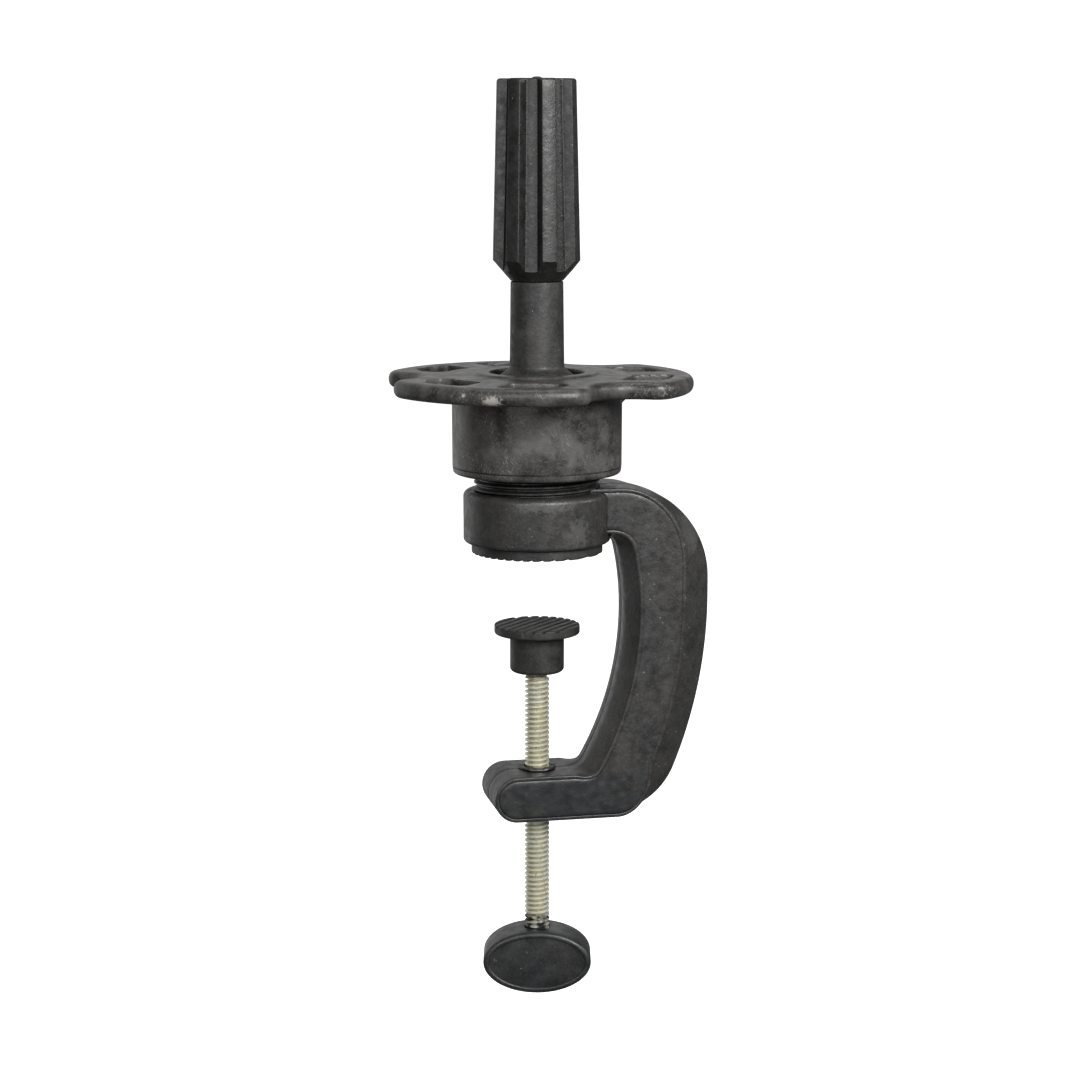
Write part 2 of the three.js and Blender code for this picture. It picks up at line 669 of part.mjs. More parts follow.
function padSocketGeometry() {
  const inside = TIP_RADIUS + GAP;
  const mouthRadius = 4.6;
  const mouthAngle = THREE.MathUtils.radToDeg(Math.acos(mouthRadius / inside));
  return turned(
    [
      [0, TIP_CENTRE + inside],
      ...arc(0, TIP_CENTRE, inside, 90, -mouthAngle, 9).slice(1),
      [mouthRadius + 0.6, SOCKET_BOTTOM],
      [SOCKET_RADIUS, SOCKET_BOTTOM],
      [SOCKET_RADIUS, SOCKET_TOP],
      [0, SOCKET_TOP],
    ],
    COARSE,
  );
}

const padClipGeometry = () =>
  splitRing(5.4, SOCKET_RADIUS, SOCKET_BOTTOM - GAP - 1.2, SOCKET_BOTTOM - GAP);

const thrustWasherGeometry = () => tube(TIP_NECK_RADIUS + GAP, 5, THREAD_TOP + GAP, THREAD_TOP + 1.3, COARSE);

function swivelPadGeometry() {
  const underside = PAD_TOP - PAD_THICKNESS;
  const body = turned(
    [
      [0, HUB_BOTTOM],
      [HUB_RADIUS - 1.4, HUB_BOTTOM],
      [HUB_RADIUS, HUB_BOTTOM + 1.4],
      [HUB_RADIUS, underside],
      [PAD_RADIUS - 0.4, underside],
      [PAD_RADIUS, underside + 0.4],
      [PAD_RADIUS, PAD_TOP],
      [0, PAD_TOP],
    ],
    MEDIUM,
  );
  return cut(body, cylinder(SOCKET_RADIUS + GAP, HUB_BOTTOM - 1, SOCKET_TOP + GAP, COARSE));
}

function knobGeometry() {
  const oval = new THREE.Shape();
  oval.absellipse(0, 0, KNOB_WIDTH / 2 - KNOB_EDGE, KNOB_HEIGHT / 2 - KNOB_EDGE, 0, 2 * Math.PI);
  const depth = KNOB_THICKNESS - 2 * KNOB_EDGE;
  const paddle = new THREE.ExtrudeGeometry(oval, {
    depth,
    bevelThickness: KNOB_EDGE,
    bevelSize: KNOB_EDGE,
    bevelSegments: 2,
    curveSegments: 20,
  });
  paddle.translate(0, 0, -depth / 2).rotateX(Math.PI / 2).translate(0, 0, KNOB_CENTRE);
  return cut(
    paddle,
    cylinder(SCREW_RADIUS + GAP, KNOB_MOUTH - 4 - GAP, KNOB_CENTRE + KNOB_HEIGHT, COARSE),
    cylinder(FLATTENED_RADIUS + GAP, SCREW_BOTTOM - GAP, KNOB_CENTRE + KNOB_HEIGHT, COARSE),
  ).rotateZ(radians(KNOB_TURN));
}

// Assembly ----------------------------------------------------------------------------------

const pieces = [
  ['c_frame', frameGeometry, framePlastic],
  ['upper_jaw_pad', upperJawPadGeometry, rubber],
  ['arm_nut', armNutGeometry, zincSteel],
  ['nut_plug', nutPlugGeometry, framePlastic],
  ['top_bush', topBushGeometry, framePlastic],
  ['seat_washer', seatWasherGeometry, rubber],
  ['ball_seat', ballSeatGeometry, nylon],
  ['seat_clip', seatClipGeometry, zincSteel],
  ['post', postGeometry, postPlastic],
  ['post_bolt', postBoltGeometry, zincSteel],
  ['bolt_washer', boltWasherGeometry, zincSteel],
  ['spigot_cone', spigotGeometry, spigotPlastic],
  ['spigot_nut', spigotNutGeometry, zincSteel],
  ['pressure_ring', pressureRingGeometry, nylon],
  ['lock_wheel', lockWheelGeometry, wheelPlastic],
  ['thrust_washer', thrustWasherGeometry, zincSteel],
  ['clamp_screw', clampScrewGeometry, zincSteel],
  ['knob', knobGeometry, knobPlastic],
  ['swivel_pad', swivelPadGeometry, knobPlastic],
  ['pad_socket', padSocketGeometry, nylon],
  ['pad_clip', padClipGeometry, zincSteel],
];

const holder = new THREE.Group();
for (const [name, makeGeometry, material] of pieces) {
  const mesh = new THREE.Mesh(makeGeometry(), material);
  mesh.name = name;
  holder.add(mesh);
}

export default holder;
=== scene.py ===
"""Looks of a table-clamp holder for a training head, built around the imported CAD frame.

Every visible piece is made here in detail and stands for its CAD node. The pieces that the
others hide keep their CAD mesh and get a material. Shapes are written in millimetres and
turned into metres in mesh_object(), in the CAD's own frame: the origin lies on the post's
axis in the upper jaw's table face, +Z is up, and +X points towards the spine of the C.
"""

import math

import bmesh
import bpy
from mathutils import Matrix, Vector
from mathutils.geometry import tessellate_polygon


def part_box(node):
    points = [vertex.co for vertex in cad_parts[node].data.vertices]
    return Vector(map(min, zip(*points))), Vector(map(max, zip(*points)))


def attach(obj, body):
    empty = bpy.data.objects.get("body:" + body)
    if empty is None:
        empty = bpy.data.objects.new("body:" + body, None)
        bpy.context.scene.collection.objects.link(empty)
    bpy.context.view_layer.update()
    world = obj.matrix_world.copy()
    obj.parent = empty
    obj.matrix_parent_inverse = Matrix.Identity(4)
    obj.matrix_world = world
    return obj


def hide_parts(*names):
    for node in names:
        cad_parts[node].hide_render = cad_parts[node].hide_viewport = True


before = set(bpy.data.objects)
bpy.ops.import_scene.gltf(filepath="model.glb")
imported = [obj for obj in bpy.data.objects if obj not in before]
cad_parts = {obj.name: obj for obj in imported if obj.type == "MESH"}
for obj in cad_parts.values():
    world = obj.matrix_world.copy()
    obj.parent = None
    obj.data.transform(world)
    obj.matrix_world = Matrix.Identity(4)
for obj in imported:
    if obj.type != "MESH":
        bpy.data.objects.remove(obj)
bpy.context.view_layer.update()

MM = 0.001


def corners(node):
    """Lowest and highest corner of a CAD node, in millimetres."""
    low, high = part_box(node)
    return low / MM, high / MM


# Sizes that the frame gives --------------------

FRAME_LOW, FRAME_HIGH = corners("c_frame")
JAW_HIGH = corners("upper_jaw_pad")[1]
BELL_BOTTOM, PEG_TOP = [corner.z for corner in corners("post")]
SPIGOT_BOTTOM, SPIGOT_TOP = [corner.z for corner in corners("spigot_cone")]
SKIRT_BOTTOM, RING_TOP = [corner.z for corner in corners("lock_wheel")]
SCREW_BOTTOM, TIP_TOP = [corner.z for corner in corners("clamp_screw")]
BUSH_LOW, BUSH_HIGH = corners("top_bush")
PLUG_BOTTOM = corners("nut_plug")[0].z
PAD_LOW, PAD_HIGH = corners("swivel_pad")
KNOB_LOW, KNOB_HIGH = corners("knob")

# Sizes that repeat the CAD's own driving dimensions --------------------

GAP = 0.3
LIP_RADIUS = JAW_HIGH.x
LIP_HEIGHT = 4  # of the upper jaw, below the collar

COLLAR_RADIUS = -FRAME_LOW.x
COLLAR_TOP = 25
NECK_TOP = FRAME_HIGH.z
NECK_RADIUS = 25.1
NECK_ROOT = 23.7
NECK_PITCH = 2.5
STEM_RADIUS = 9
CLIP_ROOM_RADIUS = 13
CLIP_ROOM_TOP = 14

ARM_TOP = 26.5
ARM_UNDERSIDE = 8.3
ARM_ROOT = 17
LOWER_ARM_TOP = -89.1
LOWER_ARM_BOTTOM = FRAME_LOW.z
ARM_END_CENTRE = -10.8
FRAME_HALF_WIDTH = 15
SPINE_OUTSIDE = FRAME_HIGH.x
SPINE_INSIDE = 34.8
SHOULDER_CENTRE = 31
SPINE_RADIUS = 185
SPINE_STRAIGHT_END = -20
HEEL_RADIUS = 28
INSIDE_UPPER_RADIUS = 115
INSIDE_LOWER_RADIUS = 125
INSIDE_WIDEST = -24
UPPER_FILLET = 9
LOWER_FILLET = 8
OUTER_SLOPE = 12
INNER_SLOPE = 4.3
SEAM_HALF_WIDTH = 4

BALL_CENTRE = 53
BELL_INSIDE = 18.9
BELL_OUTSIDE = 23
POST_RADIUS = 10.8
POST_TOP_RADIUS = 10.4
PEG_RADIUS = 8
BOLT_HOLE_RADIUS = 4.3
BOLT_POCKET_RADIUS = 7.6
BOLT_POCKET_TOP = 82.4

SPIGOT_SHOULDER = 116
SPIGOT_WIDE = 17.4
SPIGOT_NARROW = 15.7
RIBS = 7
FIRST_RIB = -85
RIB_HALF_ANGLE = 9.75
GROOVE_HALF_ANGLE = 10
GROOVE_DEPTH = 3.6
NUT_POCKET_TOP = 168.5
BOLT_ROOM_TOP = 174

WHEEL_RADIUS = 62
RIM_WIDTH = 7
RIM_MIDDLE = 67.7
LOBES = 3
FIRST_LOBE = -6
NOTCH_CENTRE = 63
NOTCH_RADIUS = 20
LOBE_END_RADIUS = 5
HOLE_RADIUS = 18.8
RING_RADIUS = 24
SKIRT_RADIUS = 33.8
WHEEL_BORE = 25.4
WEB_BOTTOM = 65
WEB_TOP = 71
OPENING_INSIDE = 38
OPENING_OUTSIDE = 54

NUT_FLATS = 16.4
NUT_TOP = -94.3
NUT_BOTTOM = -103.3
BUSH_RADIUS = 6.7
SCREW_RADIUS = 5
SCREW_ROOT = 3.75
SCREW_PITCH = 2
THREAD_TOP = -50.4
THREAD_BOTTOM = -160.6
TIP_CENTRE = -41
TIP_RADIUS = 4.9
TIP_NECK_RADIUS = 3
SCREW_END_RADIUS = 4.2

PAD_THICKNESS = 3.7
HUB_RADIUS = 10.9
SOCKET_ROOM_RADIUS = 7.3
SOCKET_ROOM_TOP = -35
KNOB_MOUTH = -157.5
KNOB_WIDTH = 44
KNOB_THICKNESS = 19
KNOB_EDGE = 1.6
KNOB_TURN = -12

FINE = 128  # sides of the large round pieces
MEDIUM = 72  # of the pieces round the screw
ARC_STEP = math.radians(9)  # longest turn between two points of a rounding
WELD_REACH = 0.002
PAST = 1  # how far a cutter runs past the solid that it cuts


# Mesh helpers --------------------

def mesh_object(name, points, faces):
    """A mesh object from points in millimetres, with its faces turned outwards."""
    mesh = bpy.data.meshes.new(name)
    mesh.from_pydata([Vector(point) * MM for point in points], [], faces)
    piece = bpy.data.objects.new(name, mesh)
    bpy.context.scene.collection.objects.link(piece)
    edit(piece, face_outwards)
    return piece


def edit(piece, change):
    """Runs change(bmesh) on a piece's mesh."""
    bm = bmesh.new()
    bm.from_mesh(piece.data)
    change(bm)
    bm.to_mesh(piece.data)
    bm.free()


def face_outwards(bm):
    bmesh.ops.recalc_face_normals(bm, faces=bm.faces)


def split_long(bm, longest):
    """Triangles with few edges longer than a length in millimetres."""
    for _ in range(6):  # each round halves the long edges
        bmesh.ops.triangulate(bm, faces=bm.faces)
        long = [edge for edge in bm.edges if edge.calc_length() > longest * MM]
        if not long:
            break
        bmesh.ops.subdivide_edges(bm, edges=long, cuts=1)
    bmesh.ops.triangulate(bm, faces=bm.faces)


def weld(bm):
    """Joins points that lie together and drops what collapses."""
    bmesh.ops.remove_doubles(bm, verts=bm.verts, dist=WELD_REACH * MM)
    bmesh.ops.dissolve_degenerate(bm, edges=bm.edges, dist=WELD_REACH * MM / 2)


def apply_modifiers(piece):
    """Replaces a piece's mesh by what its modifiers make of it."""
    bpy.context.view_layer.update()
    shown = piece.evaluated_get(bpy.context.evaluated_depsgraph_get())
    mesh = bpy.data.meshes.new_from_object(shown)
    piece.modifiers.clear()
    piece.data = mesh


def modified(piece, kind, **settings):
    """Adds one modifier with its settings and applies it."""
    modifier = piece.modifiers.new(kind.lower(), kind)
    for key, value in settings.items():
        setattr(modifier, key, value)
    apply_modifiers(piece)
    return piece


def combined(piece, operation, *tools):
    """Joins (UNION) tools to a piece or cuts them out of it (DIFFERENCE)."""
    for tool in tools:
        modified(piece, "BOOLEAN", operation=operation, solver="EXACT", object=tool)
        bpy.data.objects.remove(tool)
    return piece


def rounded(outline, closed=False):
    """Points of an outline of (across, up, radius) corners, each corner rounded by its radius."""
    count = len(outline)
    points = []
    for i, (across, up, radius) in enumerate(outline):
        corner = Vector((across, up))
        is_end = not closed and i in (0, count - 1)
        if radius == 0 or is_end:
            points.append(corner)
            continue
        before = (Vector(outline[i - 1][:2]) - corner).normalized()
        after = (Vector(outline[(i + 1) % count][:2]) - corner).normalized()
        half = before.angle(after) / 2
        centre = corner + (before + after).normalized() * (radius / math.sin(half))
        start = corner + before * (radius / math.tan(half)) - centre
        end = corner + after * (radius / math.tan(half)) - centre
        turn = math.atan2(start.x * end.y - start.y * end.x, start.dot(end))
        steps = max(2, math.ceil(abs(turn) / ARC_STEP))
        first = math.atan2(start.y, start.x)
        for step in range(steps + 1):
            angle = first + turn * step / steps
            points.append(centre + Vector((math.cos(angle), math.sin(angle))) * radius)
    return points


def arc(centre, radius, start, end, steps):
    """Points (across, up) on an arc, angles in degrees."""
    angles = [math.radians(start + (end - start) * i / steps) for i in range(steps + 1)]
    return [Vector(centre) + Vector((math.cos(a), math.sin(a))) * radius for a in angles]


def skin(name, rings, capped=True):
    """Quads between rings of equally many points; capped at both ends, or else closed on itself."""
    count = len(rings[0])
    points = [point for ring in rings for point in ring]
    last = len(rings) - 1
    faces = []
    for row in range(last if capped else last + 1):
        here = row * count
        above = (row + 1) % len(rings) * count
        for i in range(count):
            j = (i + 1) % count
            faces.append((here + i, here + j, above + j, above + i))
    if capped:
        faces.extend(cap_faces(rings[0], 0))
        faces.extend(cap_faces(rings[-1], last * count))
    return mesh_object(name, points, faces)


def cap_faces(ring, first):
    """Triangles that fill a flat ring of points."""
    triangles = tessellate_polygon([[Vector(point) for point in ring]])
    return [tuple(first + i for i in triangle) for triangle in triangles]


def directions(degrees):
    """Level directions along an angle about Z and to the left of it."""
    turn = math.radians(degrees)
    return Vector((math.cos(turn), math.sin(turn), 0)), Vector((-math.sin(turn), math.cos(turn), 0))


def stepped(profile, longest):
    """A profile with points added so that no step of it is longer than a length."""
    points = [Vector(profile[0])]
    for point in profile[1:]:
        start = points[-1]
        steps = max(1, math.ceil((Vector(point) - start).length / longest))
        points.extend(start.lerp(Vector(point), (i + 1) / steps) for i in range(steps))
    return points


def turned(name, profile, sides=FINE):
    """A solid turned about Z from (radius, height) points.

    The profile starts and ends on the axis, or else closes on itself.
    """
    points = []
    rings = []
    for radius, height in profile:
        count = 1 if radius == 0 else sides
        rings.append(range(len(points), len(points) + count))
        for i in range(count):
            angle = 2 * math.pi * i / sides
            points.append((radius * math.cos(angle), radius * math.sin(angle), height))
    on_axis = len(rings[0]) == 1
    faces = []
    for low, high in zip(rings, rings[1:] if on_axis else [*rings[1:], rings[0]]):
        for i in range(sides):
            j = (i + 1) % sides
            quad = [low[i % len(low)], low[j % len(low)], high[j % len(high)], high[i % len(high)]]
            faces.append(tuple(dict.fromkeys(quad)))
    return mesh_object(name, points, faces)


def cylinder(radius, bottom, top, sides=MEDIUM):
    return turned("tool", [(0, bottom), (radius, bottom), (radius, top), (0, top)], sides)


def hexagon(across_flats, bottom, top):
    return cylinder(across_flats / math.sqrt(3), bottom, top, 6)


def smooth(share):
    """Eases a share in and out between 0 and 1."""
    share = min(1, max(0, share))
    return share * share * (3 - 2 * share)


def threaded(name, bottom, top, pitch, profile, root, columns, fade):
    """A closed threaded rod.

    The profile holds (share of the pitch, radius) points of one turn. Its rows follow the
    helix. At both ends they are held flat, and over the fade the thread runs out to the root.
    """
    count = len(profile)
    turns = math.ceil((top - bottom) / pitch) + 3
    points = []
    for row in range(turns * count):
        share, radius = profile[row % count]
        for column in range(columns):
            height = bottom + pitch * (row // count - 1 + share + column / columns)
            height = min(top, max(bottom, height))
            reach = root + (radius - root) * smooth(min(height - bottom, top - height) / fade)
            angle = 2 * math.pi * column / columns
            points.append((reach * math.cos(angle), reach * math.sin(angle), height))
    faces = []
    for row in range((turns - 1) * count - 1):
        for column in range(columns):
            is_last = column == columns - 1
            here = row * columns + column
            beside = (row + count) * columns if is_last else here + 1
            faces.append((here, beside, beside + columns, here + columns))
    piece = mesh_object(name, points, faces)
    edit(piece, weld)
    edit(piece, lambda bm: bmesh.ops.holes_fill(bm, edges=bm.edges, sides=0))
    edit(piece, face_outwards)
    return piece


def place(piece, node, body, material, sharp):
    """Lets a finished piece stand for its CAD node: its body, its material, its shading.

    Edges that turn by more than the sharp angle, in degrees, aren't shaded smoothly.
    """
    piece.name = node + "_visual"
    piece.data.materials.clear()
    piece.data.materials.append(material)
    piece.data.shade_smooth()
    piece.data.set_sharp_from_angle(angle=math.radians(sharp))
    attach(piece, body)
    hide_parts(node)


# Materials --------------------

RAGGED = 0.6  # how far the edge of a stain or scuff wanders, as a share of its width
SPREAD = (0.3, 0.7)  # a noise texture's usual lowest and highest value


class Shader:
    """A principled material and short ways of adding nodes to it. Sizes are in millimetres."""

    def __init__(self, name, **sockets):
        self.material = bpy.data.materials.new(name)
        self.material.use_nodes = True
        self.tree = self.material.node_tree
        self.surface = self.tree.nodes["Principled BSDF"]
        for key, value in sockets.items():
            self.surface.inputs[key.replace("_", " ")].default_value = value
        self.coordinates = self.add("ShaderNodeTexCoord").outputs["Object"]

    def add(self, kind, sockets=None, **settings):
        node = self.tree.nodes.new(kind)
        for key, value in settings.items():
            setattr(node, key, value)
        for key, value in (sockets or {}).items():
            if isinstance(value, bpy.types.NodeSocket):
                self.tree.links.new(value, node.inputs[key])
            else:
                node.inputs[key].default_value = value
        return node

    def set(self, colour, roughness, normal):
        """Links the three things that vary over each piece."""
        for socket, value in (("Base Color", colour), ("Roughness", roughness), ("Normal", normal)):
            self.tree.links.new(value, self.surface.inputs[socket])

    def noise(self, size, detail, at=None):
        sockets = {"Vector": at or self.coordinates, "Scale": 1 / (size * MM), "Detail": detail}
        return self.add("ShaderNodeTexNoise", sockets).outputs[0]

    def spots(self, size):
        """Distance from scattered points, in shares of their spacing."""
        sockets = {"Vector": self.coordinates, "Scale": 1 / (size * MM)}
        return self.add("ShaderNodeTexVoronoi", sockets).outputs["Distance"]

    def stretched(self, scale, turn):
        """Coordinates turned (degrees) and then scaled on each axis."""
        turned_first = {"Vector": self.coordinates, "Rotation": [math.radians(angle) for angle in turn]}
        rotated = self.add("ShaderNodeMapping", turned_first).outputs[0]
        return self.add("ShaderNodeMapping", {"Vector": rotated, "Scale": scale}).outputs[0]

    def ramp(self, value, low, high, start=0.0, end=1.0):
        """Value between low and high, as a share from start to end, held at both ends."""
        sockets = {"Value": value, "From Min": low, "From Max": high, "To Min": start, "To Max": end}
        return self.add("ShaderNodeMapRange", sockets).outputs[0]

    def varied(self, size, detail, start, end):
        """Noise that ranges from start to end."""
        return self.ramp(self.noise(size, detail), *SPREAD, start, end)

    def patches(self, size, detail, low, high, strength=1.0):
        """0 where a noise is below low, the strength where it is above high."""
        return self.ramp(self.noise(size, detail), low, high, 0, strength)

    def math(self, operation, a, b):
        return self.add("ShaderNodeMath", {0: a, 1: b}, operation=operation).outputs[0]

    def both(self, a, b):
        return self.math("MULTIPLY", a, b)

    def mixed(self, share, a, b):
        return self.add("ShaderNodeMix", {0: share, 6: a, 7: b}, data_type="RGBA").outputs[2]

    def edges(self):
        """1 where the surface is a convex edge."""
        return self.ramp(self.add("ShaderNodeNewGeometry").outputs["Pointiness"], 0.52, 0.6)

    def near(self, centre, size):
        """1 inside a ragged patch round a point, 0 outside; the size is the patch's half widths."""
        from_centre = {
            "Vector": self.coordinates,
            "Scale": [1 / (half * MM) for half in size],
            "Location": [-part / half for part, half in zip(centre, size)],
        }
        shares = self.add("ShaderNodeMapping", from_centre).outputs[0]
        distance = self.add("ShaderNodeVectorMath", {"Vector": shares}, operation="LENGTH").outputs["Value"]
        edge = self.varied(min(size) / 2.5, 6, 1 - RAGGED, 1 + RAGGED)
        return self.ramp(self.math("DIVIDE", distance, edge), 0.55, 1.1, 1, 0)

    def crevices(self, reach, low=0.35, high=0.95):
        """A painted-shade mask: 0 where the surface is open, 1 deep in a groove or hole; the reach is in
        millimetres.
        """
        node = self.add("ShaderNodeAmbientOcclusion", {"Distance": reach * MM}, samples=6)
        return self.ramp(node.outputs["AO"], low, high, 1, 0)

    def height(self):
        """Height above the origin, in metres."""
        return self.add("ShaderNodeSeparateXYZ", {"Vector": self.coordinates}).outputs["Z"]

    def bump(self, value, depth, strength=1.0, under=None):
        sockets = {"Height": value, "Distance": depth * MM, "Strength": strength}
        if under is not None:
            sockets["Normal"] = under
        return self.add("ShaderNodeBump", sockets).outputs[0]


def grey(value, warm=0.0):
    """A near-neutral colour; warm moves it from bluish to yellowish."""
    return (value * (1 + warm), value, value * (1 - warm), 1)


def lighter(colour, times):
    """A colour made several times lighter, or darker for less than one."""
    return (*[part * times for part in colour[:3]], 1)


def tinted(colour, tint):
    """A colour multiplied by a tint."""
    return (*[part * share for part, share in zip(colour[:3], tint)], 1)


TINT = (1.25, 1.2, 0.95)  # olive cast that comes and goes over the black plastic
SCRATCH_TURNS = ((8, 38, 0), (-12, -24, 15))  # two ways in which fine scratches run, in degrees
SCRATCH_WIDTH = 0.5
SCRATCH_STRETCH = 0.06  # a smaller share makes them longer


def scratches(shader, turn):
    """Thin straight scratches across a surface, 0 to 1, in scattered patches."""
    along = shader.stretched((1, 1, SCRATCH_STRETCH), turn)
    lines = shader.ramp(shader.noise(SCRATCH_WIDTH, 2, along), 0.62, 0.68)
    return shader.both(lines, shader.patches(SCRATCH_WIDTH * 30, 2, 0.48, 0.62))


def moulded_plastic(name, dark, light, roughness, mottle=9, wear=0.5, rub=0.3, scratched=0.1, marks=()):
    """Black moulded plastic: cloudy mottling, grain, pale rubbed patches and scratches, worn edges, painted
    shade in crevices.

    The mottle is the clouds' size; wear, rub and scratched are strengths. The marks are single
    stains, scuffs, painted shadows and painted highlights: (centre, half widths, colour, strength).
    """
    shader = Shader(name, IOR=1.5)
    grains = shader.noise(0.8, 4)
    specks = shader.ramp(shader.spots(3.1), 0.05, 0.11, 0.7, 0)
    wearing = shader.ramp(shader.noise(3.5, 4), 0.35, 0.7, 0.1, wear)
    layers = [
        (shader.both(shader.patches(mottle * 1.7, 4, 0.42, 0.58), 0.35), tinted(light, TINT)),
        (shader.ramp(grains, 0.5, 0.72, 0, 0.5), lighter(light, 2.4)),
        (shader.patches(1.1, 3, 0.58, 0.75, 0.5), lighter(dark, 0.4)),
        (shader.patches(mottle * 1.3, 9, 0.5, 0.7, rub), lighter(light, 3)),
        (shader.both(specks, shader.patches(7, 2, 0.52, 0.58)), grey(0.25)),
        (shader.both(shader.edges(), wearing), lighter(light, 4)),
        *[(shader.both(scratches(shader, turn), scratched), lighter(light, 4)) for turn in SCRATCH_TURNS],
        *[(shader.both(shader.near(centre, size), strength), tone) for centre, size, tone, strength in marks],
        # painted shade: darker in grooves and deep places, from ambient occlusion
        *[(shader.both(shader.crevices(reach), depth), PAINTED_SHADE_COLOUR) for reach, depth in PAINTED_SHADE_REACHES],
    ]
    colour = shader.mixed(shader.patches(mottle, 8, 0.4, 0.6), dark, light)
    for share, tone in layers:
        colour = shader.mixed(share, colour, tone)
    gloss = shader.varied(mottle / 2, 4, roughness - 0.1, roughness + 0.1)
    relief = shader.bump(shader.noise(mottle / 2.5, 4), 0.2, 0.7)
    shader.set(colour, gloss, shader.bump(grains, 0.05, 1.0, relief))
    return shader.material


# colour of the painted shade in grooves and deep places
PAINTED_SHADE_COLOUR = grey(0.002)
PAINTED_SHADE_REACHES = ((1.2, 0.7), (7, 0.9))  # painted shade in grooves and in deep places: (reach, strength)
PALE = grey(0.38, 0.06)
# pale tone of the painted highlights on the collar, the shoulder and the skirt
PAINTED_HIGHLIGHT = grey(0.1, 0.02)
# dark tone of the stains on the post and of the painted shadow under a gusset
STAIN_AND_SHADOW = grey(0.006, 0.02)
DULL = grey(0.014, -0.12)
WHEEL_MARKS = (  # scuffs on the rim, a painted shadow under a gusset and painted highlights on the skirt
    ((-29, -54.8, 66.2), (3.6, 3.6, 2.2), PALE, 0.8),
    ((-38.5, -48.6, 68.3), (0.9, 0.9, 0.9), PALE, 0.9),
    ((-19.8, -27.4, 55), (3, 4, 8), STAIN_AND_SHADOW, 0.75),
    ((17, -29.3, 38), (9, 8, 5), PAINTED_HIGHLIGHT, 0.4),
    ((3, -33.5, 47), (11, 6, 9), PAINTED_HIGHLIGHT, 0.2),
)
FRAME_MARKS = (  # painted highlights on the collar and the shoulder, and a darker lower arm
    ((10.5, -27.4, 11), (5, 7, 7), PAINTED_HIGHLIGHT, 0.4),
    ((-5, -29, 22), (14, 5, 2.4), PAINTED_HIGHLIGHT, 0.45),
    ((60, -8, 8), (6, 10, 9), PAINTED_HIGHLIGHT, 0.3),
    ((10, -15, -99), (38, 8, 13), DULL, 0.8),
)
POST_MARKS = (  # dark ovals on the column
    ((-9, -5, 96), (4, 4, 5), STAIN_AND_SHADOW, 0.6),
    ((6, -9, 99), (3, 4, 4), STAIN_AND_SHADOW, 0.5),
)


def zinc_steel():
    """Zinc-plated steel with a faint yellow tint."""
    shader = Shader("zinc_plated_steel", Metallic=1.0)
    tint = shader.patches(6, 4, 0.35, 0.65)
    colour = shader.mixed(tint, (0.71, 0.68, 0.58, 1), (0.62, 0.61, 0.58, 1))
    colour = shader.mixed(shader.patches(1.2, 5, 0.55, 0.75, 0.5), colour, (0.36, 0.33, 0.26, 1))
    shader.set(colour, shader.varied(2, 4, 0.22, 0.42), shader.bump(shader.noise(0.3, 3), 0.01))
    return shader.material


PAINTED_SHADE_TOP = -150  # painted shade darkens the screw from here down to the knob
PAINTED_SHADE_EDGE = 0.8
PAINTED_SHADE_WAVE = 1.5  # how far that edge wanders up and down


def screw_steel():
    """Bright yellowish zinc with olive painted shade between the threads, and darker painted shade where it
    enters the knob.
    """
    shader = Shader("screw_steel", Metallic=0.65)
    tint = shader.patches(7, 4, 0.35, 0.65)
    colour = shader.mixed(tint, (0.98, 0.96, 0.74, 1), (0.95, 0.94, 0.84, 1))
    colour = shader.mixed(shader.patches(1.4, 5, 0.58, 0.74, 0.4), colour, (0.5, 0.47, 0.3, 1))
    # olive painted shade between the threads, from ambient occlusion
    colour = shader.mixed(shader.crevices(1.6, 0.3, 0.8), colour, (0.28, 0.26, 0.13, 1))
    # painted shade, near black and patchy, where the screw enters the knob; it is also made rougher
    wave = shader.ramp(shader.noise(4, 2), 0, 1, -PAINTED_SHADE_WAVE * MM, PAINTED_SHADE_WAVE * MM)
    height = shader.math("ADD", shader.height(), wave)
    painted_shade = shader.ramp(height, (PAINTED_SHADE_TOP + PAINTED_SHADE_EDGE) * MM, (PAINTED_SHADE_TOP - PAINTED_SHADE_EDGE) * MM)
    painted_shade = shader.both(painted_shade, shader.ramp(shader.noise(5, 3), 0.4, 0.5, 0.25, 1))
    colour = shader.mixed(painted_shade, colour, (0.03, 0.03, 0.032, 1))
    gloss = shader.math("ADD", shader.varied(1.8, 4, 0.24, 0.42), shader.both(painted_shade, 0.2))
    shader.set(colour, gloss, shader.bump(shader.noise(0.35, 3), 0.012))
    return shader.material


def nylon():
    """Natural nylon of the bearing pieces."""
    shader = Shader("natural_nylon", Subsurface_Weight=0.1)
    colour = shader.mixed(shader.patches(5, 4, 0.35, 0.65), (0.62, 0.58, 0.48, 1), (0.70, 0.67, 0.58, 1))
    shader.set(colour, shader.varied(2, 3, 0.42, 0.58), shader.bump(shader.noise(0.5, 3), 0.02))
    return shader.material


def fibre():
    """Black friction fibre of the washer under the ball seat."""
    shader = Shader("friction_fibre")
    strands = shader.noise(0.3, 4, shader.stretched((1, 1, 6), (0, 0, 30)))
    colour = shader.mixed(strands, grey(0.008), grey(0.035))
    shader.set(colour, shader.ramp(strands, *SPREAD, 0.75, 0.95), shader.bump(strands, 0.06))
    return shader.material


# The C-shaped frame --------------------

LONGEST_EDGE = 6  # of the frame's triangles, so that wear stays at the edges
SEAM_DEPTH = 0.4  # groove along the parting line
SEAM_GROOVE = 0.3  # half its width
SLOPE_EASE = 0.15  # softness of the start of the side slopes
EDGE_ROUNDING = 0.7
BORDER = 0.6  # flat land round the side face
GROOVE = 0.5  # depth of the groove inside that land
PILLOW = 1.8  # width over which the side face rises from the groove
SLOPE_GROOVE = 0.16  # its depth along the spine's slopes
FACE_INSET = 0.1  # side face below the land


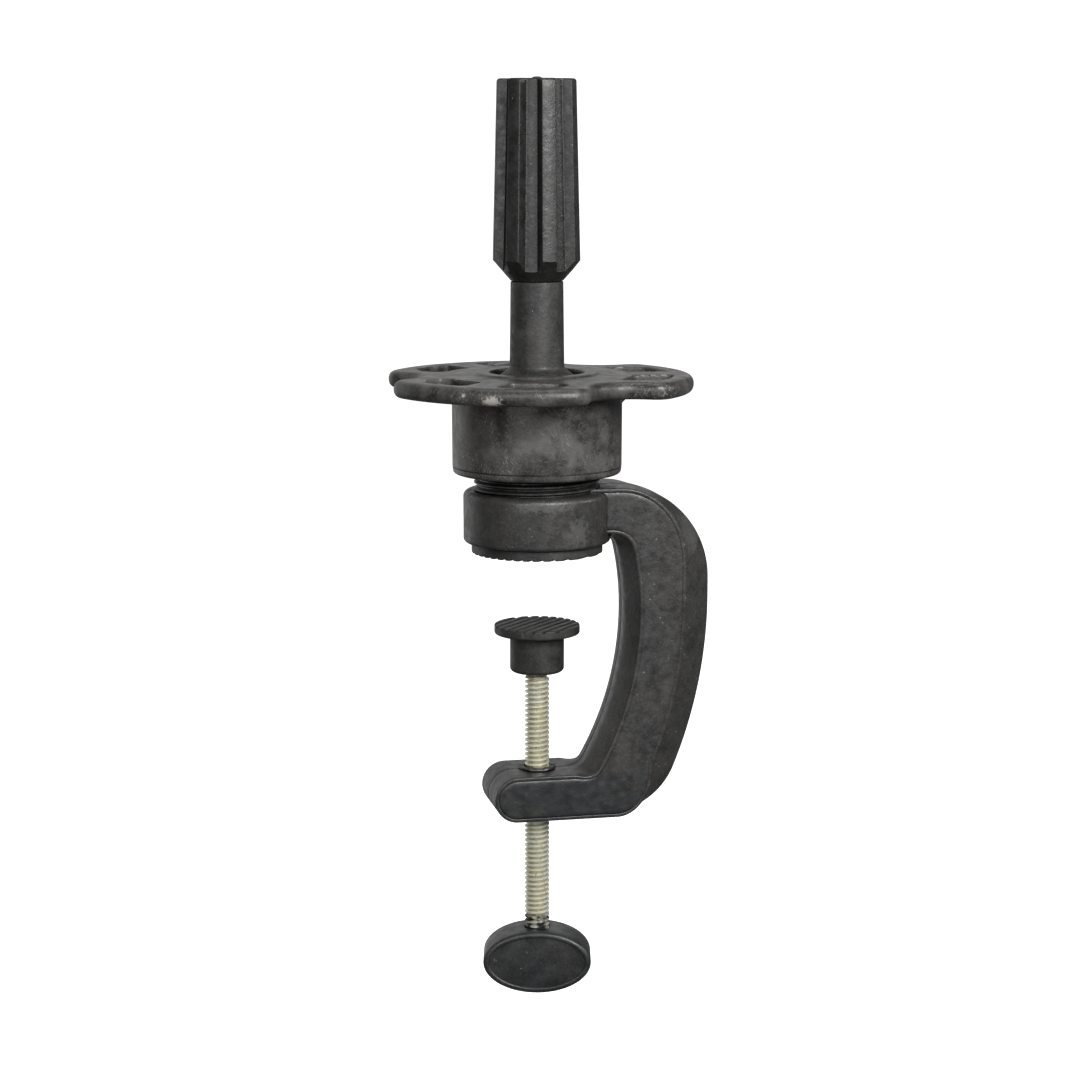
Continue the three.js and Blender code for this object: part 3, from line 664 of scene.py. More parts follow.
def frame_stations():
    """Points round the C: (point, way into the material, width of the side slope there)."""
    stations = []

    def bend(centre, radius, start, end, steps, slope, hollow=False):
        for i, point in enumerate(arc(centre, radius, start, end, steps)):
            away = (point - Vector(centre)).normalized()
            stations.append((point, away if hollow else -away, slope(i / steps)))

    def corner_arc(long_centre, long_radius, radius, level, side):
        """Centre and angle of a corner that touches a long arc and a level line."""
        up = level - side * radius
        rise = up - long_centre[1]
        reach = long_radius - radius
        across = long_centre[0] + math.sqrt(reach * reach - rise * rise)
        return (across, up), math.degrees(math.asin(rise / reach))

    outside_centre = (SPINE_OUTSIDE - SPINE_RADIUS, SPINE_STRAIGHT_END)
    upper_centre = (SPINE_INSIDE - INSIDE_UPPER_RADIUS, INSIDE_WIDEST)
    lower_centre = (SPINE_INSIDE - INSIDE_LOWER_RADIUS, INSIDE_WIDEST)
    shoulder_radius = SPINE_OUTSIDE - SHOULDER_CENTRE
    heel, heel_angle = corner_arc(outside_centre, SPINE_RADIUS, HEEL_RADIUS, LOWER_ARM_BOTTOM, -1)
    upper, upper_angle = corner_arc(upper_centre, INSIDE_UPPER_RADIUS, UPPER_FILLET, ARM_UNDERSIDE, 1)
    lower, lower_angle = corner_arc(lower_centre, INSIDE_LOWER_RADIUS, LOWER_FILLET, LOWER_ARM_TOP, -1)
    arm_radius = (LOWER_ARM_TOP - LOWER_ARM_BOTTOM) / 2
    arm_end = (ARM_END_CENTRE, LOWER_ARM_TOP - arm_radius)

    stations.append((Vector((ARM_ROOT, ARM_UNDERSIDE)), Vector((1, 1)), 0))
    stations.append((Vector((ARM_ROOT, ARM_TOP)), Vector((1, -1)), 0))
    shoulder = (SHOULDER_CENTRE, ARM_TOP - shoulder_radius)
    bend(shoulder, shoulder_radius, 90, 0, 32, lambda share: OUTER_SLOPE * smooth(share))
    bend(outside_centre, SPINE_RADIUS, 0, heel_angle, 24, lambda share: OUTER_SLOPE)
    bend(heel, HEEL_RADIUS, heel_angle, -90, 30, lambda share: OUTER_SLOPE * (1 - smooth(share)))
    bend(arm_end, arm_radius, -90, -270, 36, lambda share: 0)
    bend(lower, LOWER_FILLET, -90, lower_angle, 20, lambda share: INNER_SLOPE * smooth(share), True)
    bend(lower_centre, INSIDE_LOWER_RADIUS, lower_angle, 0, 24, lambda share: INNER_SLOPE, True)
    bend(upper_centre, INSIDE_UPPER_RADIUS, 0, upper_angle, 12, lambda share: INNER_SLOPE, True)
    bend(upper, UPPER_FILLET, upper_angle, 90, 20, lambda share: INNER_SLOPE * (1 - smooth(share)), True)
    return stations


def side_section(slope):
    """Half of the C's section: (inset from the outline, distance from the parting line).

    The groove round the side face is deep on the arms and fades where the sides slope.
    """
    face = FRAME_HALF_WIDTH
    groove = GROOVE - (GROOVE - SLOPE_GROOVE) * min(1, slope / INNER_SLOPE)
    run = face - SEAM_HALF_WIDTH
    full = math.hypot(1, SLOPE_EASE) - SLOPE_EASE
    section = [(SEAM_DEPTH, 0), (0.05, SEAM_GROOVE), (0, SEAM_GROOVE + 0.15)]
    for share in (0, 0.1, 0.2, 0.35, 0.5, 0.65, 0.8):
        ease = (math.hypot(share, SLOPE_EASE) - SLOPE_EASE) / full
        section.append((slope * ease, SEAM_HALF_WIDTH + run * share))
    edge = Vector((slope, face))
    start = edge - Vector((slope, run)).normalized() * EDGE_ROUNDING
    end = edge + Vector((EDGE_ROUNDING, 0))
    for share in (0, 0.25, 0.5, 0.75, 1):
        section.append(start.lerp(edge, share).lerp(edge.lerp(end, share), share))
    land = slope + EDGE_ROUNDING + BORDER
    section += [(land, face), (land + 0.15, face - 0.08), (land + 0.22, face - groove)]
    rise = groove - FACE_INSET
    for share in (0.1, 0.25, 0.45, 0.7, 1):
        turn = share * math.pi / 2
        across = land + 0.3 + PILLOW * (1 - math.cos(turn))
        section.append((across, face - groove + rise * math.sin(turn)))
    for extra in (0.7, 1.1, 1.5):
        section.append((land + PILLOW + extra, face - FACE_INSET))
    return section


def frame_loft():
    """The C without its collar."""
    stations = frame_stations()
    halves = [side_section(slope) for _, _, slope in stations]
    steps = len(halves[0])

    def ring(step, side):
        points = []
        for (point, inward, _), half in zip(stations, halves):
            inset, out = half[step]
            moved = point + inward * inset
            points.append((moved.x, side * out, moved.y))
        return points

    front = [ring(step, -1) for step in reversed(range(1, steps))]
    back = [ring(step, 1) for step in range(steps)]
    loft = skin("c_loft", front + back)
    edit(loft, weld)
    return loft


def collar():
    """The round body of the upper jaw, with rounded edges and a core that fills the neck."""
    bottom = LIP_HEIGHT + GAP
    core_radius = 20
    core_top = 40
    profile = rounded([
        (0, bottom, 0),
        (COLLAR_RADIUS, bottom, 1.6),
        (COLLAR_RADIUS, COLLAR_TOP, 2.4),
        (core_radius, COLLAR_TOP, 0),
        (core_radius, core_top, 0),
        (0, core_top, 0),
    ])
    return turned("collar", profile)


def neck():
    """The coarse thread that the lock wheel turns on."""
    crest, root = NECK_RADIUS, NECK_ROOT
    profile = [(0, crest - 0.15), (0.06, crest), (0.26, crest), (0.32, crest - 0.15),
               (0.54, root + 0.15), (0.6, root), (0.76, root), (0.82, root + 0.15)]
    return threaded("neck", COLLAR_TOP - 0.8, NECK_TOP, NECK_PITCH, profile, root, FINE, 0.7)


def build_frame():
    piece = combined(frame_loft(), "UNION", collar(), neck())
    piece = combined(
        piece,
        "DIFFERENCE",
        cylinder(STEM_RADIUS + GAP, CLIP_ROOM_TOP - PAST, NECK_TOP + PAST),
        cylinder(CLIP_ROOM_RADIUS, 0, CLIP_ROOM_TOP),
        cylinder(BUSH_RADIUS + GAP, NUT_TOP, LOWER_ARM_TOP + PAST),
        hexagon(NUT_FLATS + 2 * GAP, LOWER_ARM_BOTTOM - PAST, NUT_TOP + GAP),
    )
    edit(piece, lambda bm: split_long(bm, LONGEST_EDGE))
    return piece


# The two jaw faces --------------------

RIDGE_SPACING = 3.6
RIDGE_DEPTH = 0.9
RIDGE_TURN = 48  # degrees from the C's plane
RIDGE_GROOVE = (  # corners of a groove's section: (rise above the face, distance from its middle)
    (-RIDGE_DEPTH, -0.3),
    (-RIDGE_DEPTH, 0.3),
    (0.5, 1.3),
    (0.5, -1.3),
)


def ridge_grooves(face, side, radius):
    """V-grooves across a round face at height face; side is +1 for a top face, -1 for an underside."""
    along, across = directions(RIDGE_TURN)
    up = Vector((0, 0, side))
    lines = int(radius / RIDGE_SPACING)
    middle = Vector((0, 0, face))
    points = []
    faces = []
    for line in range(-lines, lines + 1):
        first = len(points)
        for end in (-1, 1):
            centre = middle + along * end * (radius + 2) + across * line * RIDGE_SPACING
            points.extend(centre + up * rise + across * out for rise, out in RIDGE_GROOVE)
        for i in range(4):
            j = (i + 1) % 4
            faces.append((first + i, first + j, first + 4 + j, first + 4 + i))
        faces.append(tuple(first + i for i in (3, 2, 1, 0)))
        faces.append(tuple(first + i for i in (4, 5, 6, 7)))
    return mesh_object("grooves", points, faces)


def build_upper_jaw():
    register = CLIP_ROOM_RADIUS - GAP
    profile = rounded([
        (0, 0, 0),
        (LIP_RADIUS, 0, 0.5),
        (LIP_RADIUS, LIP_HEIGHT, 0.3),
        (register, LIP_HEIGHT, 0),
        (register, JAW_HIGH.z, 0.5),
        (0, JAW_HIGH.z, 0),
    ])
    return combined(turned("jaw", profile), "DIFFERENCE", ridge_grooves(0, -1, LIP_RADIUS))


def build_swivel_pad():
    underside = PAD_HIGH.z - PAD_THICKNESS
    profile = rounded([
        (0, PAD_LOW.z, 0),
        (HUB_RADIUS, PAD_LOW.z, 1.8),
        (HUB_RADIUS, underside, 0.8),
        (PAD_HIGH.x, underside, 0.9),
        (PAD_HIGH.x, PAD_HIGH.z, 0.5),
        (0, PAD_HIGH.z, 0),
    ])
    return combined(
        turned("pad", profile),
        "DIFFERENCE",
        ridge_grooves(PAD_HIGH.z, 1, PAD_HIGH.x),
        cylinder(SOCKET_ROOM_RADIUS, PAD_LOW.z - PAST, SOCKET_ROOM_TOP),
    )


# The small pieces round the screw --------------------

FLASH_WAVES = ((5, 0, 1), (11, 1, 0.7), (17, 2, 0.5))  # waves per turn, start, share of the height
FLASH_HEIGHT = 0.25
FLASH_SPREAD = 0.03  # as a share of the radius


def add_flash(bm, bottom):
    """Breaks up the edge of a small moulded ring above a height, as flash does."""
    total = sum(share for _, _, share in FLASH_WAVES)
    for vertex in bm.verts:
        if vertex.co.z < bottom * MM:
            continue
        angle = math.atan2(vertex.co.y, vertex.co.x)
        wave = sum(share * math.sin(count * angle + start) for count, start, share in FLASH_WAVES) / total
        vertex.co.z += FLASH_HEIGHT * MM * wave
        vertex.co.xy *= 1 + FLASH_SPREAD * wave


def build_top_bush():
    inner = SCREW_RADIUS + GAP
    seat = LOWER_ARM_TOP + GAP
    flange = BUSH_HIGH.x
    profile = rounded([
        (BUSH_RADIUS, BUSH_LOW.z, 0.3),
        (BUSH_RADIUS, seat, 0),
        (flange, seat, 0.2),
        (flange - 0.3, BUSH_HIGH.z, 0.4),
        (inner, BUSH_HIGH.z, 0.2),
        (inner, BUSH_LOW.z, 0.2),
    ], closed=True)
    piece = turned("bush", profile, MEDIUM)
    edit(piece, lambda bm: add_flash(bm, seat + 0.2))
    return piece


def build_nut_plug():
    boss = SCREW_RADIUS + 1.8
    boss_top = LOWER_ARM_BOTTOM + 0.5
    profile = rounded([(0, PLUG_BOTTOM, 0), (boss, PLUG_BOTTOM, 0.8), (boss, boss_top, 0), (0, boss_top, 0)])
    plug = hexagon(NUT_FLATS, LOWER_ARM_BOTTOM, NUT_BOTTOM - GAP)
    modified(plug, "BEVEL", width=0.3 * MM, segments=2)
    piece = combined(turned("boss", profile, MEDIUM), "UNION", plug)
    return combined(piece, "DIFFERENCE", cylinder(SCREW_RADIUS + GAP, PLUG_BOTTOM - PAST, NUT_BOTTOM))


# The post and the spigot --------------------

def sphere_angle(radius, across):
    """Angle above the ball's equator, in degrees, where a sphere has a distance from the axis."""
    return math.degrees(math.acos(across / radius))


def build_post():
    ball = (0, BALL_CENTRE)
    rim_angle = math.degrees(math.asin((BELL_BOTTOM - BALL_CENTRE) / BELL_OUTSIDE))
    fillet = 2.5  # between the bell and the column
    reach = BELL_OUTSIDE + fillet
    touch = sphere_angle(reach, POST_RADIUS + fillet)
    foot = BALL_CENTRE + reach * math.sin(math.radians(touch))
    shoulder = SPIGOT_BOTTOM - GAP
    pocket_angle = sphere_angle(BELL_INSIDE, BOLT_POCKET_RADIUS)
    profile = [
        *arc(ball, BELL_OUTSIDE, rim_angle, touch, 20),
        *arc((POST_RADIUS + fillet, foot), fillet, 180 + touch, 180, 8)[1:],
        *rounded([
            (POST_RADIUS, foot, 0),
            (POST_TOP_RADIUS, shoulder, 0.5),
            (PEG_RADIUS, shoulder, 0),
            (PEG_RADIUS, PEG_TOP, 0.6),
            (BOLT_HOLE_RADIUS, PEG_TOP, 0),
        ])[1:],
        (BOLT_HOLE_RADIUS, BOLT_POCKET_TOP),
        (BOLT_POCKET_RADIUS, BOLT_POCKET_TOP),
        *arc(ball, BELL_INSIDE, pocket_angle, rim_angle, 20),
    ]
    return turned("post", profile)


RIB_EDGE = 0.35  # rounding along a rib
FLOOR_FILLET = 0.7
TOP_ROUNDING = 1.2
NUB_RADIUS = 2
NUB_HEIGHT = 0.8


def rib_outline():
    """One turn of the ribs: (angle in degrees, depth below the rib's face)."""
    middle_radius = (SPIGOT_WIDE + SPIGOT_NARROW) / 2
    per_degree = math.radians(1) * middle_radius
    pitch = 360 / RIBS
    rib_side = RIB_HALF_ANGLE * per_degree
    floor = (pitch / 2 - GROOVE_HALF_ANGLE) * per_degree
    end = pitch / 2 * per_degree
    half = rounded([
        (0, 0, 0),
        (rib_side, 0, RIB_EDGE),
        (floor, GROOVE_DEPTH, FLOOR_FILLET),
        (end, GROOVE_DEPTH, 0),
    ])
    face_steps = [Vector((rib_side * share, 0)) for share in (0.3, 0.6, 0.85)]
    floor_steps = [Vector((floor + (end - floor) * share, GROOVE_DEPTH)) for share in (0.35, 0.7)]
    half = [half[0], *face_steps, *half[1:-1], *floor_steps, half[-1]]
    one = [Vector((-point.x, point.y)) for point in reversed(half[1:-1])] + half
    middles = [FIRST_RIB + rib * pitch for rib in range(RIBS)]
    return [(middle + point.x / per_degree, point.y) for middle in middles for point in one]


def spigot_radius(height):
    """Radius over the ribs."""
    share = (height - SPIGOT_SHOULDER) / (SPIGOT_TOP - SPIGOT_SHOULDER)
    return SPIGOT_WIDE + (SPIGOT_NARROW - SPIGOT_WIDE) * share


def build_spigot():
    """Each column of points climbs the lead-in cone until it meets its rib or groove, then goes up."""
    outline = rib_outline()
    foot = POST_TOP_RADIUS + 0.05
    steepness = (SPIGOT_SHOULDER - SPIGOT_BOTTOM) / (SPIGOT_WIDE - foot)
    shaft_top = SPIGOT_TOP - TOP_ROUNDING

    def meeting(depth):
        return SPIGOT_BOTTOM + (spigot_radius(SPIGOT_SHOULDER) - depth - foot) * steepness

    def ring(radius_height):
        points = []
        for angle, depth in outline:
            radius, height = radius_height(depth)
            turn = math.radians(angle)
            points.append((radius * math.cos(turn), radius * math.sin(turn), height))
        return points

    def on_cone(share):
        def at(depth):
            height = SPIGOT_BOTTOM + (meeting(depth) - SPIGOT_BOTTOM) * share
            return foot + (height - SPIGOT_BOTTOM) / steepness, height
        return ring(at)

    def on_shaft(share):
        def at(depth):
            height = meeting(depth) + (shaft_top - meeting(depth)) * share
            return spigot_radius(height) - depth, height
        return ring(at)

    def on_top(turn):
        def at(depth):
            rounding = TOP_ROUNDING * (1 - 0.7 * depth / GROOVE_DEPTH)
            height = SPIGOT_TOP - TOP_ROUNDING * (1 - math.sin(turn))
            return spigot_radius(shaft_top) - depth - rounding * (1 - math.cos(turn)), height
        return ring(at)

    def level(radius, height):
        return ring(lambda depth: (radius, height))

    bore = PEG_RADIUS + GAP
    rings = [
        level(BOLT_HOLE_RADIUS, BOLT_ROOM_TOP),
        level(BOLT_HOLE_RADIUS, NUT_POCKET_TOP),
        level(bore, NUT_POCKET_TOP),
        level(bore, SPIGOT_BOTTOM),
        *[on_cone(share) for share in (0, 0.25, 0.5, 0.75)],
        *[on_shaft(share) for share in (0, 0.01, 0.03, 0.1, 0.25, 0.5, 0.75, 0.9, 1)],
        *[on_top(math.radians(turn)) for turn in (20, 40, 60, 75, 90)],
        level(9, SPIGOT_TOP),
        level(5, SPIGOT_TOP),
        level(NUB_RADIUS + 0.4, SPIGOT_TOP),
        level(NUB_RADIUS, SPIGOT_TOP + NUB_HEIGHT * 0.4),
        level(NUB_RADIUS * 0.7, SPIGOT_TOP + NUB_HEIGHT * 0.85),
        level(NUB_RADIUS * 0.3, SPIGOT_TOP + NUB_HEIGHT),
    ]
    return skin("spigot", rings)


# The lock wheel --------------------

LOBE_CENTRE_RADIUS = WHEEL_RADIUS - RIM_WIDTH / 2
WHEEL_VOXEL = 0.5
WHEEL_SMOOTHING = 5  # rounds that soften the joins into fillets
WHEEL_KEPT = 0.3  # share of the faces kept after that
LIP_LINE = 2.5  # height of the skirt's moulded line above its edge


def lobe_line():
    """The rim's middle line: (point, outward normal) round the three lobes."""
    reach = LOBE_CENTRE_RADIUS - LOBE_END_RADIUS
    between = NOTCH_RADIUS + LOBE_END_RADIUS
    cosine = (reach**2 + NOTCH_CENTRE**2 - between**2) / (2 * reach * NOTCH_CENTRE)
    half = math.degrees(math.acos(cosine))
    lean = math.degrees(math.asin(reach * math.sin(math.radians(half)) / between))
    pitch = 360 / LOBES
    line = []

    def turn(distance, direction, radius, start, end, steps, hollow=False):
        angle = math.radians(direction)
        centre = (distance * math.cos(angle), distance * math.sin(angle))
        for point in arc(centre, radius, start, end, steps)[:-1]:
            away = (point - Vector(centre)).normalized()
            line.append((point, -away if hollow else away))

    for lobe in range(LOBES):
        notch = FIRST_LOBE + (lobe + 0.5) * pitch
        turn(0, 0, LOBE_CENTRE_RADIUS, notch - pitch + half, notch - half, 40)
        turn(reach, notch - half, LOBE_END_RADIUS, notch - half, notch + lean, 14)
        turn(NOTCH_CENTRE, notch, NOTCH_RADIUS, notch + 180 + lean, notch + 180 - lean, 28, True)
        turn(reach, notch + half, LOBE_END_RADIUS, notch - lean, notch + half, 14)
    return line


def rim():
    """A rounded bead along the lobes."""
    sides = 24
    squareness = 0.85  # 1 is round, less is squarer

    def swollen(share):
        return math.copysign(abs(share) ** squareness, share) * RIM_WIDTH / 2

    rings = []
    for point, outward in lobe_line():
        ring = []
        for i in range(sides):
            angle = 2 * math.pi * i / sides
            moved = point + outward * swollen(math.cos(angle))
            ring.append((moved.x, moved.y, RIM_MIDDLE + swollen(math.sin(angle))))
        rings.append(ring)
    return skin("rim", rings, capped=False)


def plate(outline, bottom, top):
    """A flat solid from (across, up) points."""
    return skin("plate", [[(point[0], point[1], height) for point in outline] for height in (bottom, top)])


def opening(middle, side):
    """One finger opening of the web, on the given side of a lobe's middle."""

    def at(distance, angle, radius=0.0):
        """A corner at an angle from the lobe's middle, with its rounding."""
        turn = math.radians(middle + side * angle)
        return (distance * math.cos(turn), distance * math.sin(turn), radius)

    outline = rounded([
        at(OPENING_INSIDE, 9.5, 2),
        at(OPENING_OUTSIDE, 7, 2),
        *[at(OPENING_OUTSIDE, angle) for angle in (12, 16, 20, 24)],
        at(OPENING_OUTSIDE - 0.2, 29, 5),
        at(OPENING_OUTSIDE - 6, 37.5, 4),
        at(OPENING_INSIDE + 4, 41, 4),
        at(OPENING_INSIDE, 36, 2),
        *[at(OPENING_INSIDE, angle) for angle in (31, 26, 21, 16)],
    ], closed=True)
    return plate(outline, WEB_BOTTOM - 5, WEB_TOP + 8)


def gusset(angle):
    """A three-cornered rib between the skirt and the web, under the middle of a lobe."""
    reach = 40
    depth = 8
    half = 1.5
    start = SKIRT_RADIUS - 2
    profile = [(start, WEB_BOTTOM - depth), (start, WEB_BOTTOM + 0.5), (reach, WEB_BOTTOM + 0.5)]
    along, across = directions(angle)
    flat = [along * out + Vector((0, 0, up)) for out, up in profile]
    return skin("gusset", [[point + across * side for point in flat] for side in (-half, half)])


def wheel_top():
    """Web, rim, raised ring and gussets in one moulding with soft fillets."""
    web = plate([point for point, _ in lobe_line()], WEB_BOTTOM, WEB_TOP)
    inside = SKIRT_RADIUS - 0.3  # so that the skirt covers the stub
    stub_bottom = WEB_BOTTOM - 6
    stub = turned("stub", [
        (0, stub_bottom),
        (inside, stub_bottom),
        (inside, WEB_TOP),
        (RING_RADIUS + 1, WEB_TOP),
        (RING_RADIUS, RING_TOP),
        (0, RING_TOP),
    ])
    middles = [FIRST_LOBE + lobe * 360 / LOBES for lobe in range(LOBES)]
    piece = combined(web, "UNION", rim(), stub, *[gusset(angle) for angle in middles])
    room_radius = BELL_OUTSIDE + GAP
    bell_room = turned("bell_room", [
        (0, BALL_CENTRE - 1),
        *arc((0, BALL_CENTRE), room_radius, 0, 90, 24)[:-1],
        (0, BALL_CENTRE + room_radius),
    ])
    piece = combined(
        piece,
        "DIFFERENCE",
        cylinder(WHEEL_BORE + 2, stub_bottom - PAST, WEB_BOTTOM, FINE),
        cylinder(HOLE_RADIUS, WEB_BOTTOM - PAST, RING_TOP + PAST, FINE),
        bell_room,
        *[opening(middle, side) for middle in middles for side in (-1, 1)],
    )
    modified(piece, "REMESH", mode="VOXEL", voxel_size=WHEEL_VOXEL * MM)
    modified(piece, "SMOOTH", factor=0.5, iterations=WHEEL_SMOOTHING)
    return modified(piece, "DECIMATE", ratio=WHEEL_KEPT)


def skirt():
    """The wheel's round skirt with its bore, its rounded edge and the line above that edge."""
    line = SKIRT_BOTTOM + LIP_LINE
    profile = rounded([
        (WHEEL_BORE, SKIRT_BOTTOM, 0.8),
        (SKIRT_RADIUS - 0.5, SKIRT_BOTTOM, 1.3),
        (SKIRT_RADIUS - 0.2, line, 0),
        (SKIRT_RADIUS - 0.55, line + 0.25, 0.1),
        (SKIRT_RADIUS - 0.15, line + 0.6, 0.2),
        (SKIRT_RADIUS, WEB_TOP - 1, 0.5),
        (WHEEL_BORE, WEB_TOP - 1, 0),
    ], closed=True)
    return turned("skirt", stepped(profile, 2.5), 160)


def build_wheel():
    return combined(wheel_top(), "UNION", skirt())


# The screw and the knob --------------------

def build_screw():
    """A trapezoidal thread between a ball tip and the end that the knob is moulded on."""
    crest, root = SCREW_RADIUS, SCREW_ROOT
    profile = [(0, crest - 0.07), (0.03, crest), (0.33, crest), (0.36, crest - 0.07),
               (0.5, root + 0.1), (0.54, root), (0.82, root), (0.86, root + 0.1)]
    rod = threaded("rod", THREAD_BOTTOM, THREAD_TOP, SCREW_PITCH, profile, root, 40, 1)
    neck_angle = math.degrees(math.asin(TIP_NECK_RADIUS / TIP_RADIUS)) - 90
    tip = turned("tip", [
        (0, THREAD_TOP - 1),
        (TIP_NECK_RADIUS, THREAD_TOP - 1),
        *arc((0, TIP_CENTRE), TIP_RADIUS, neck_angle, 90, 16)[:-1],
        (0, TIP_TOP),
    ], 48)
    end = turned("end", rounded([
        (0, SCREW_BOTTOM, 0),
        (SCREW_END_RADIUS, SCREW_BOTTOM, 0.5),
        (SCREW_END_RADIUS, THREAD_BOTTOM + 0.5, 0.3),
        (0, THREAD_BOTTOM + 0.5, 0),
    ]), 48)
    return combined(rod, "UNION", tip, end)


KNOB_LAND = 0.4  # flat rim round each face
KNOB_GROOVE = 0.45  # step from the rim down to the face
KNOB_CROWN = 0.6  # rise of the face towards its middle


def build_knob():
    """An oval paddle: each face is a little sunk inside a rim and crowned in its middle."""
    width = KNOB_WIDTH / 2
    height = (KNOB_HIGH.z - KNOB_LOW.z) / 2
    thickness = KNOB_THICKNESS / 2
    middle = (KNOB_HIGH.z + KNOB_LOW.z) / 2

    def oval(inset, out):
        """The oval moved in by an inset, at a distance from the middle plane."""
        points = []
        for i in range(FINE):
            angle = 2 * math.pi * i / FINE
            across = Vector((width * math.cos(angle), height * math.sin(angle)))
            normal = Vector((height * math.cos(angle), width * math.sin(angle))).normalized()
            moved = across - normal * inset
            points.append((moved.x, out, middle + moved.y))
        return points

    def scaled(share, out):
        """The face's oval drawn in towards its middle."""
        return [(x * share, out, middle + (z - middle) * share) for x, _, z in oval(land + 0.8, out)]

    land = KNOB_EDGE + KNOB_LAND
    sunk = thickness - KNOB_GROOVE
    edge = arc((KNOB_EDGE, thickness - KNOB_EDGE), KNOB_EDGE, 180, 90, 5)
    half = [(0, thickness / 3), *edge, (land, thickness), (land + 0.25, thickness - 0.15), (land + 0.5, sunk)]
    face = [(share, sunk + KNOB_CROWN * (1 - share * share)) for share in (1, 0.9, 0.75, 0.5, 0.25, 0.05)]
    front, back = [
        [oval(inset, side * out) for inset, out in half] + [scaled(share, side * out) for share, out in face]
        for side in (-1, 1)
    ]
    piece = skin("knob", [*reversed(front), oval(0, 0), *back])
    combined(
        piece,
        "DIFFERENCE",
        cylinder(SCREW_RADIUS + GAP, KNOB_MOUTH - 4 - GAP, KNOB_HIGH.z + 5),
        cylinder(SCREW_END_RADIUS + GAP, SCREW_BOTTOM - GAP, KNOB_HIGH.z + 4),
    )
    piece.data.transform(Matrix.Rotation(math.radians(KNOB_TURN), 4, "Z"))
    return piece


# Stage, light and camera --------------------

CAMERA_DISTANCE = 0.98  # metres from the post's axis, on the ground plane
CAMERA_HEIGHT = 0.165  # metres
CAMERA_AZIMUTH = -12
CAMERA_YAW = 0.07  # degrees to the right, for the framing
CAMERA_PITCH = 9.3  # degrees downwards
CAMERA_LENS = 82.8
CAMERA_SENSOR = 36
FLOOR_LEVEL = -260
STAGE_RADIUS = 3200
STAGE_BEND = 800  # radius of the curve from the floor to the wall
STAGE_HEIGHT = 3400
WORLD_LIGHT = 0.12
LIGHT_TARGET = (0.02, 0, 0)
LIGHTS = {  # place and size in metres, power in watts
    "key": ((0.4, -1.25, 0.6), 0.6, 24),
    "right": ((1.2, -0.35, 0.45), 0.4, 4),
    "left": ((-0.7, -1.1, 0.35), 0.6, 6),
    "back_left": ((-1.2, 1.1, 0.1), 1.2, 3),
    "top": ((0.0, 0.1, 1.3), 0.8, 4),
    "back": ((-0.2, 1.6, 0.3), 2.2, 8),
}


def add_stage():
    """A pale floor that curves up far behind the object on every side."""
    curve = arc((STAGE_RADIUS - STAGE_BEND, FLOOR_LEVEL + STAGE_BEND), STAGE_BEND, -90, 0, 16)
    floor = turned("floor", [(0, FLOOR_LEVEL), *curve, (STAGE_RADIUS, FLOOR_LEVEL + STAGE_HEIGHT)], 96)
    floor.data.shade_smooth()
    shader = Shader("pale_floor", Roughness=0.9, Emission_Color=(1, 1, 1, 1), Emission_Strength=0.95)
    tone = shader.mixed(shader.varied(400, 3, 0, 1), grey(0.90), grey(0.93))
    shader.tree.links.new(tone, shader.surface.inputs["Base Color"])
    floor.data.materials.append(shader.material)
    floor.visible_diffuse = False
    floor.visible_glossy = False


def add_light(name, location, size, power):
    """A soft square light that the camera doesn't see."""
    data = bpy.data.lights.new(name, "AREA")
    data.size = size
    data.energy = power
    light = bpy.data.objects.new(name, data)
    light.location = location
    light.rotation_euler = (Vector(LIGHT_TARGET) - Vector(location)).to_track_quat("-Z", "Y").to_euler()
    light.visible_camera = False
    bpy.context.scene.collection.objects.link(light)


def add_lights():
    for name, (location, size, power) in LIGHTS.items():
        add_light(name, location, size, power)
    world = bpy.data.worlds.new("studio")
    world.use_nodes = True
    background = world.node_tree.nodes["Background"]
    background.inputs["Color"].default_value = (1, 1, 1, 1)
    background.inputs["Strength"].default_value = WORLD_LIGHT
    bpy.context.scene.world = world


def add_camera():
    azimuth = math.radians(CAMERA_AZIMUTH)
    heading = math.radians(CAMERA_YAW) - azimuth
    pitch = math.radians(CAMERA_PITCH)
    data = bpy.data.cameras.new("camera")
    data.lens = CAMERA_LENS
    data.sensor_width = CAMERA_SENSOR
    camera = bpy.data.objects.new("camera", data)
    camera.location = Vector((math.sin(azimuth), -math.cos(azimuth), 0)) * CAMERA_DISTANCE
    camera.location.z = CAMERA_HEIGHT
    view = Vector((math.sin(heading), math.cos(heading), -math.tan(pitch)))
    camera.rotation_euler = view.to_track_quat("-Z", "Y").to_euler()
    bpy.context.scene.collection.objects.link(camera)
    bpy.context.scene.camera = camera


# Assembly --------------------

add_camera()
add_stage()
add_lights()
bpy.context.scene.view_settings.view_transform = "Standard"

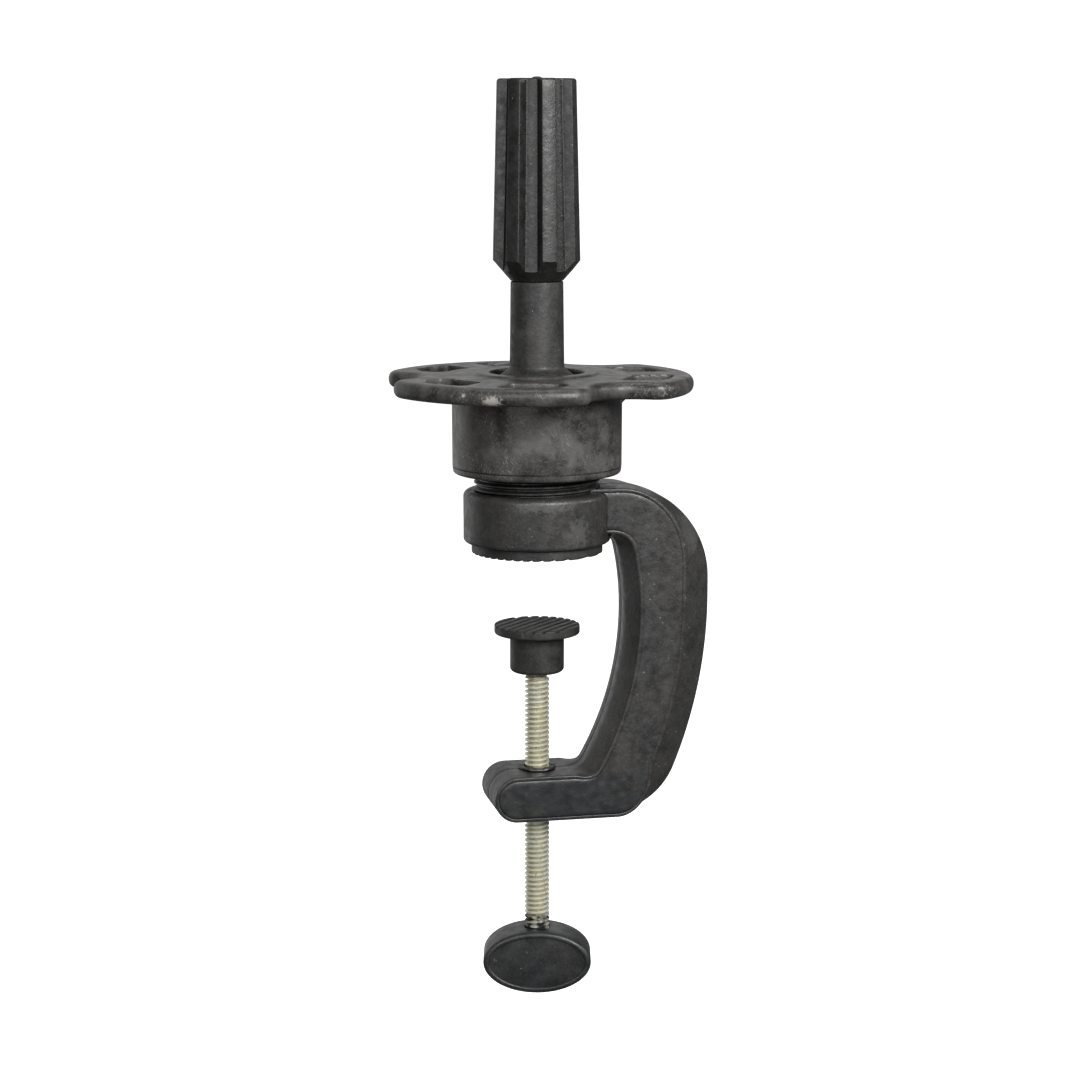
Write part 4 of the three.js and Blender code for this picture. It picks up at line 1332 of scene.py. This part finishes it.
PLASTICS = {  # how the plastic of each material slot looks
    "frame_plastic": dict(dark=grey(0.015, 0.01), light=grey(0.025, 0.02), roughness=0.42,
                          mottle=7, wear=0.8, rub=0.15, marks=FRAME_MARKS),
    "jaw_plastic": dict(dark=grey(0.01), light=grey(0.026), roughness=0.5),
    "post_plastic": dict(dark=grey(0.005), light=grey(0.02, 0.03), roughness=0.55,
                         mottle=5, marks=POST_MARKS),
    "spigot_plastic": dict(dark=grey(0.005), light=grey(0.012), roughness=0.42, mottle=6),
    "wheel_plastic": dict(dark=grey(0.01, 0.04), light=grey(0.04, 0.05), roughness=0.4,
                          wear=0.8, rub=0.6, scratched=0.9, marks=WHEEL_MARKS),
    "pad_plastic": dict(dark=grey(0.008, 0.02), light=grey(0.02, 0.02), roughness=0.55),
    "knob_plastic": dict(dark=grey(0.011, -0.05), light=grey(0.02, -0.05), roughness=0.4,
                         wear=0.2, rub=0.15),
}
MATERIALS = {slot: moulded_plastic(slot, **looks) for slot, looks in PLASTICS.items()}
MATERIALS["screw_steel"] = screw_steel()

PIECES = (  # builder, CAD node, body, material slot, sharp angle
    (build_frame, "c_frame", "base", "frame_plastic", 32),
    (build_upper_jaw, "upper_jaw_pad", "base", "jaw_plastic", 32),
    (build_top_bush, "top_bush", "base", "frame_plastic", 32),
    (build_nut_plug, "nut_plug", "base", "frame_plastic", 32),
    (build_post, "post", "mast", "post_plastic", 32),
    (build_spigot, "spigot_cone", "mast", "spigot_plastic", 28),
    (build_wheel, "lock_wheel", "wheel", "wheel_plastic", 40),
    (build_screw, "clamp_screw", "screw", "screw_steel", 32),
    (build_swivel_pad, "swivel_pad", "pad", "pad_plastic", 32),
    (build_knob, "knob", "screw", "knob_plastic", 32),
)
for build, node, body, slot, sharp in PIECES:
    place(build(), node, body, MATERIALS[slot], sharp)

steel = zinc_steel()
HIDDEN_NODES = (  # these keep their CAD mesh
    (steel, ("arm_nut", "post_bolt", "bolt_washer", "spigot_nut", "seat_clip", "pad_clip", "thrust_washer")),
    (nylon(), ("ball_seat", "pressure_ring", "pad_socket")),
    (fibre(), ("seat_washer",)),
)
for material, nodes in HIDDEN_NODES:
    for node in nodes:
        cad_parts[node].data.materials.clear()
        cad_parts[node].data.materials.append(material)
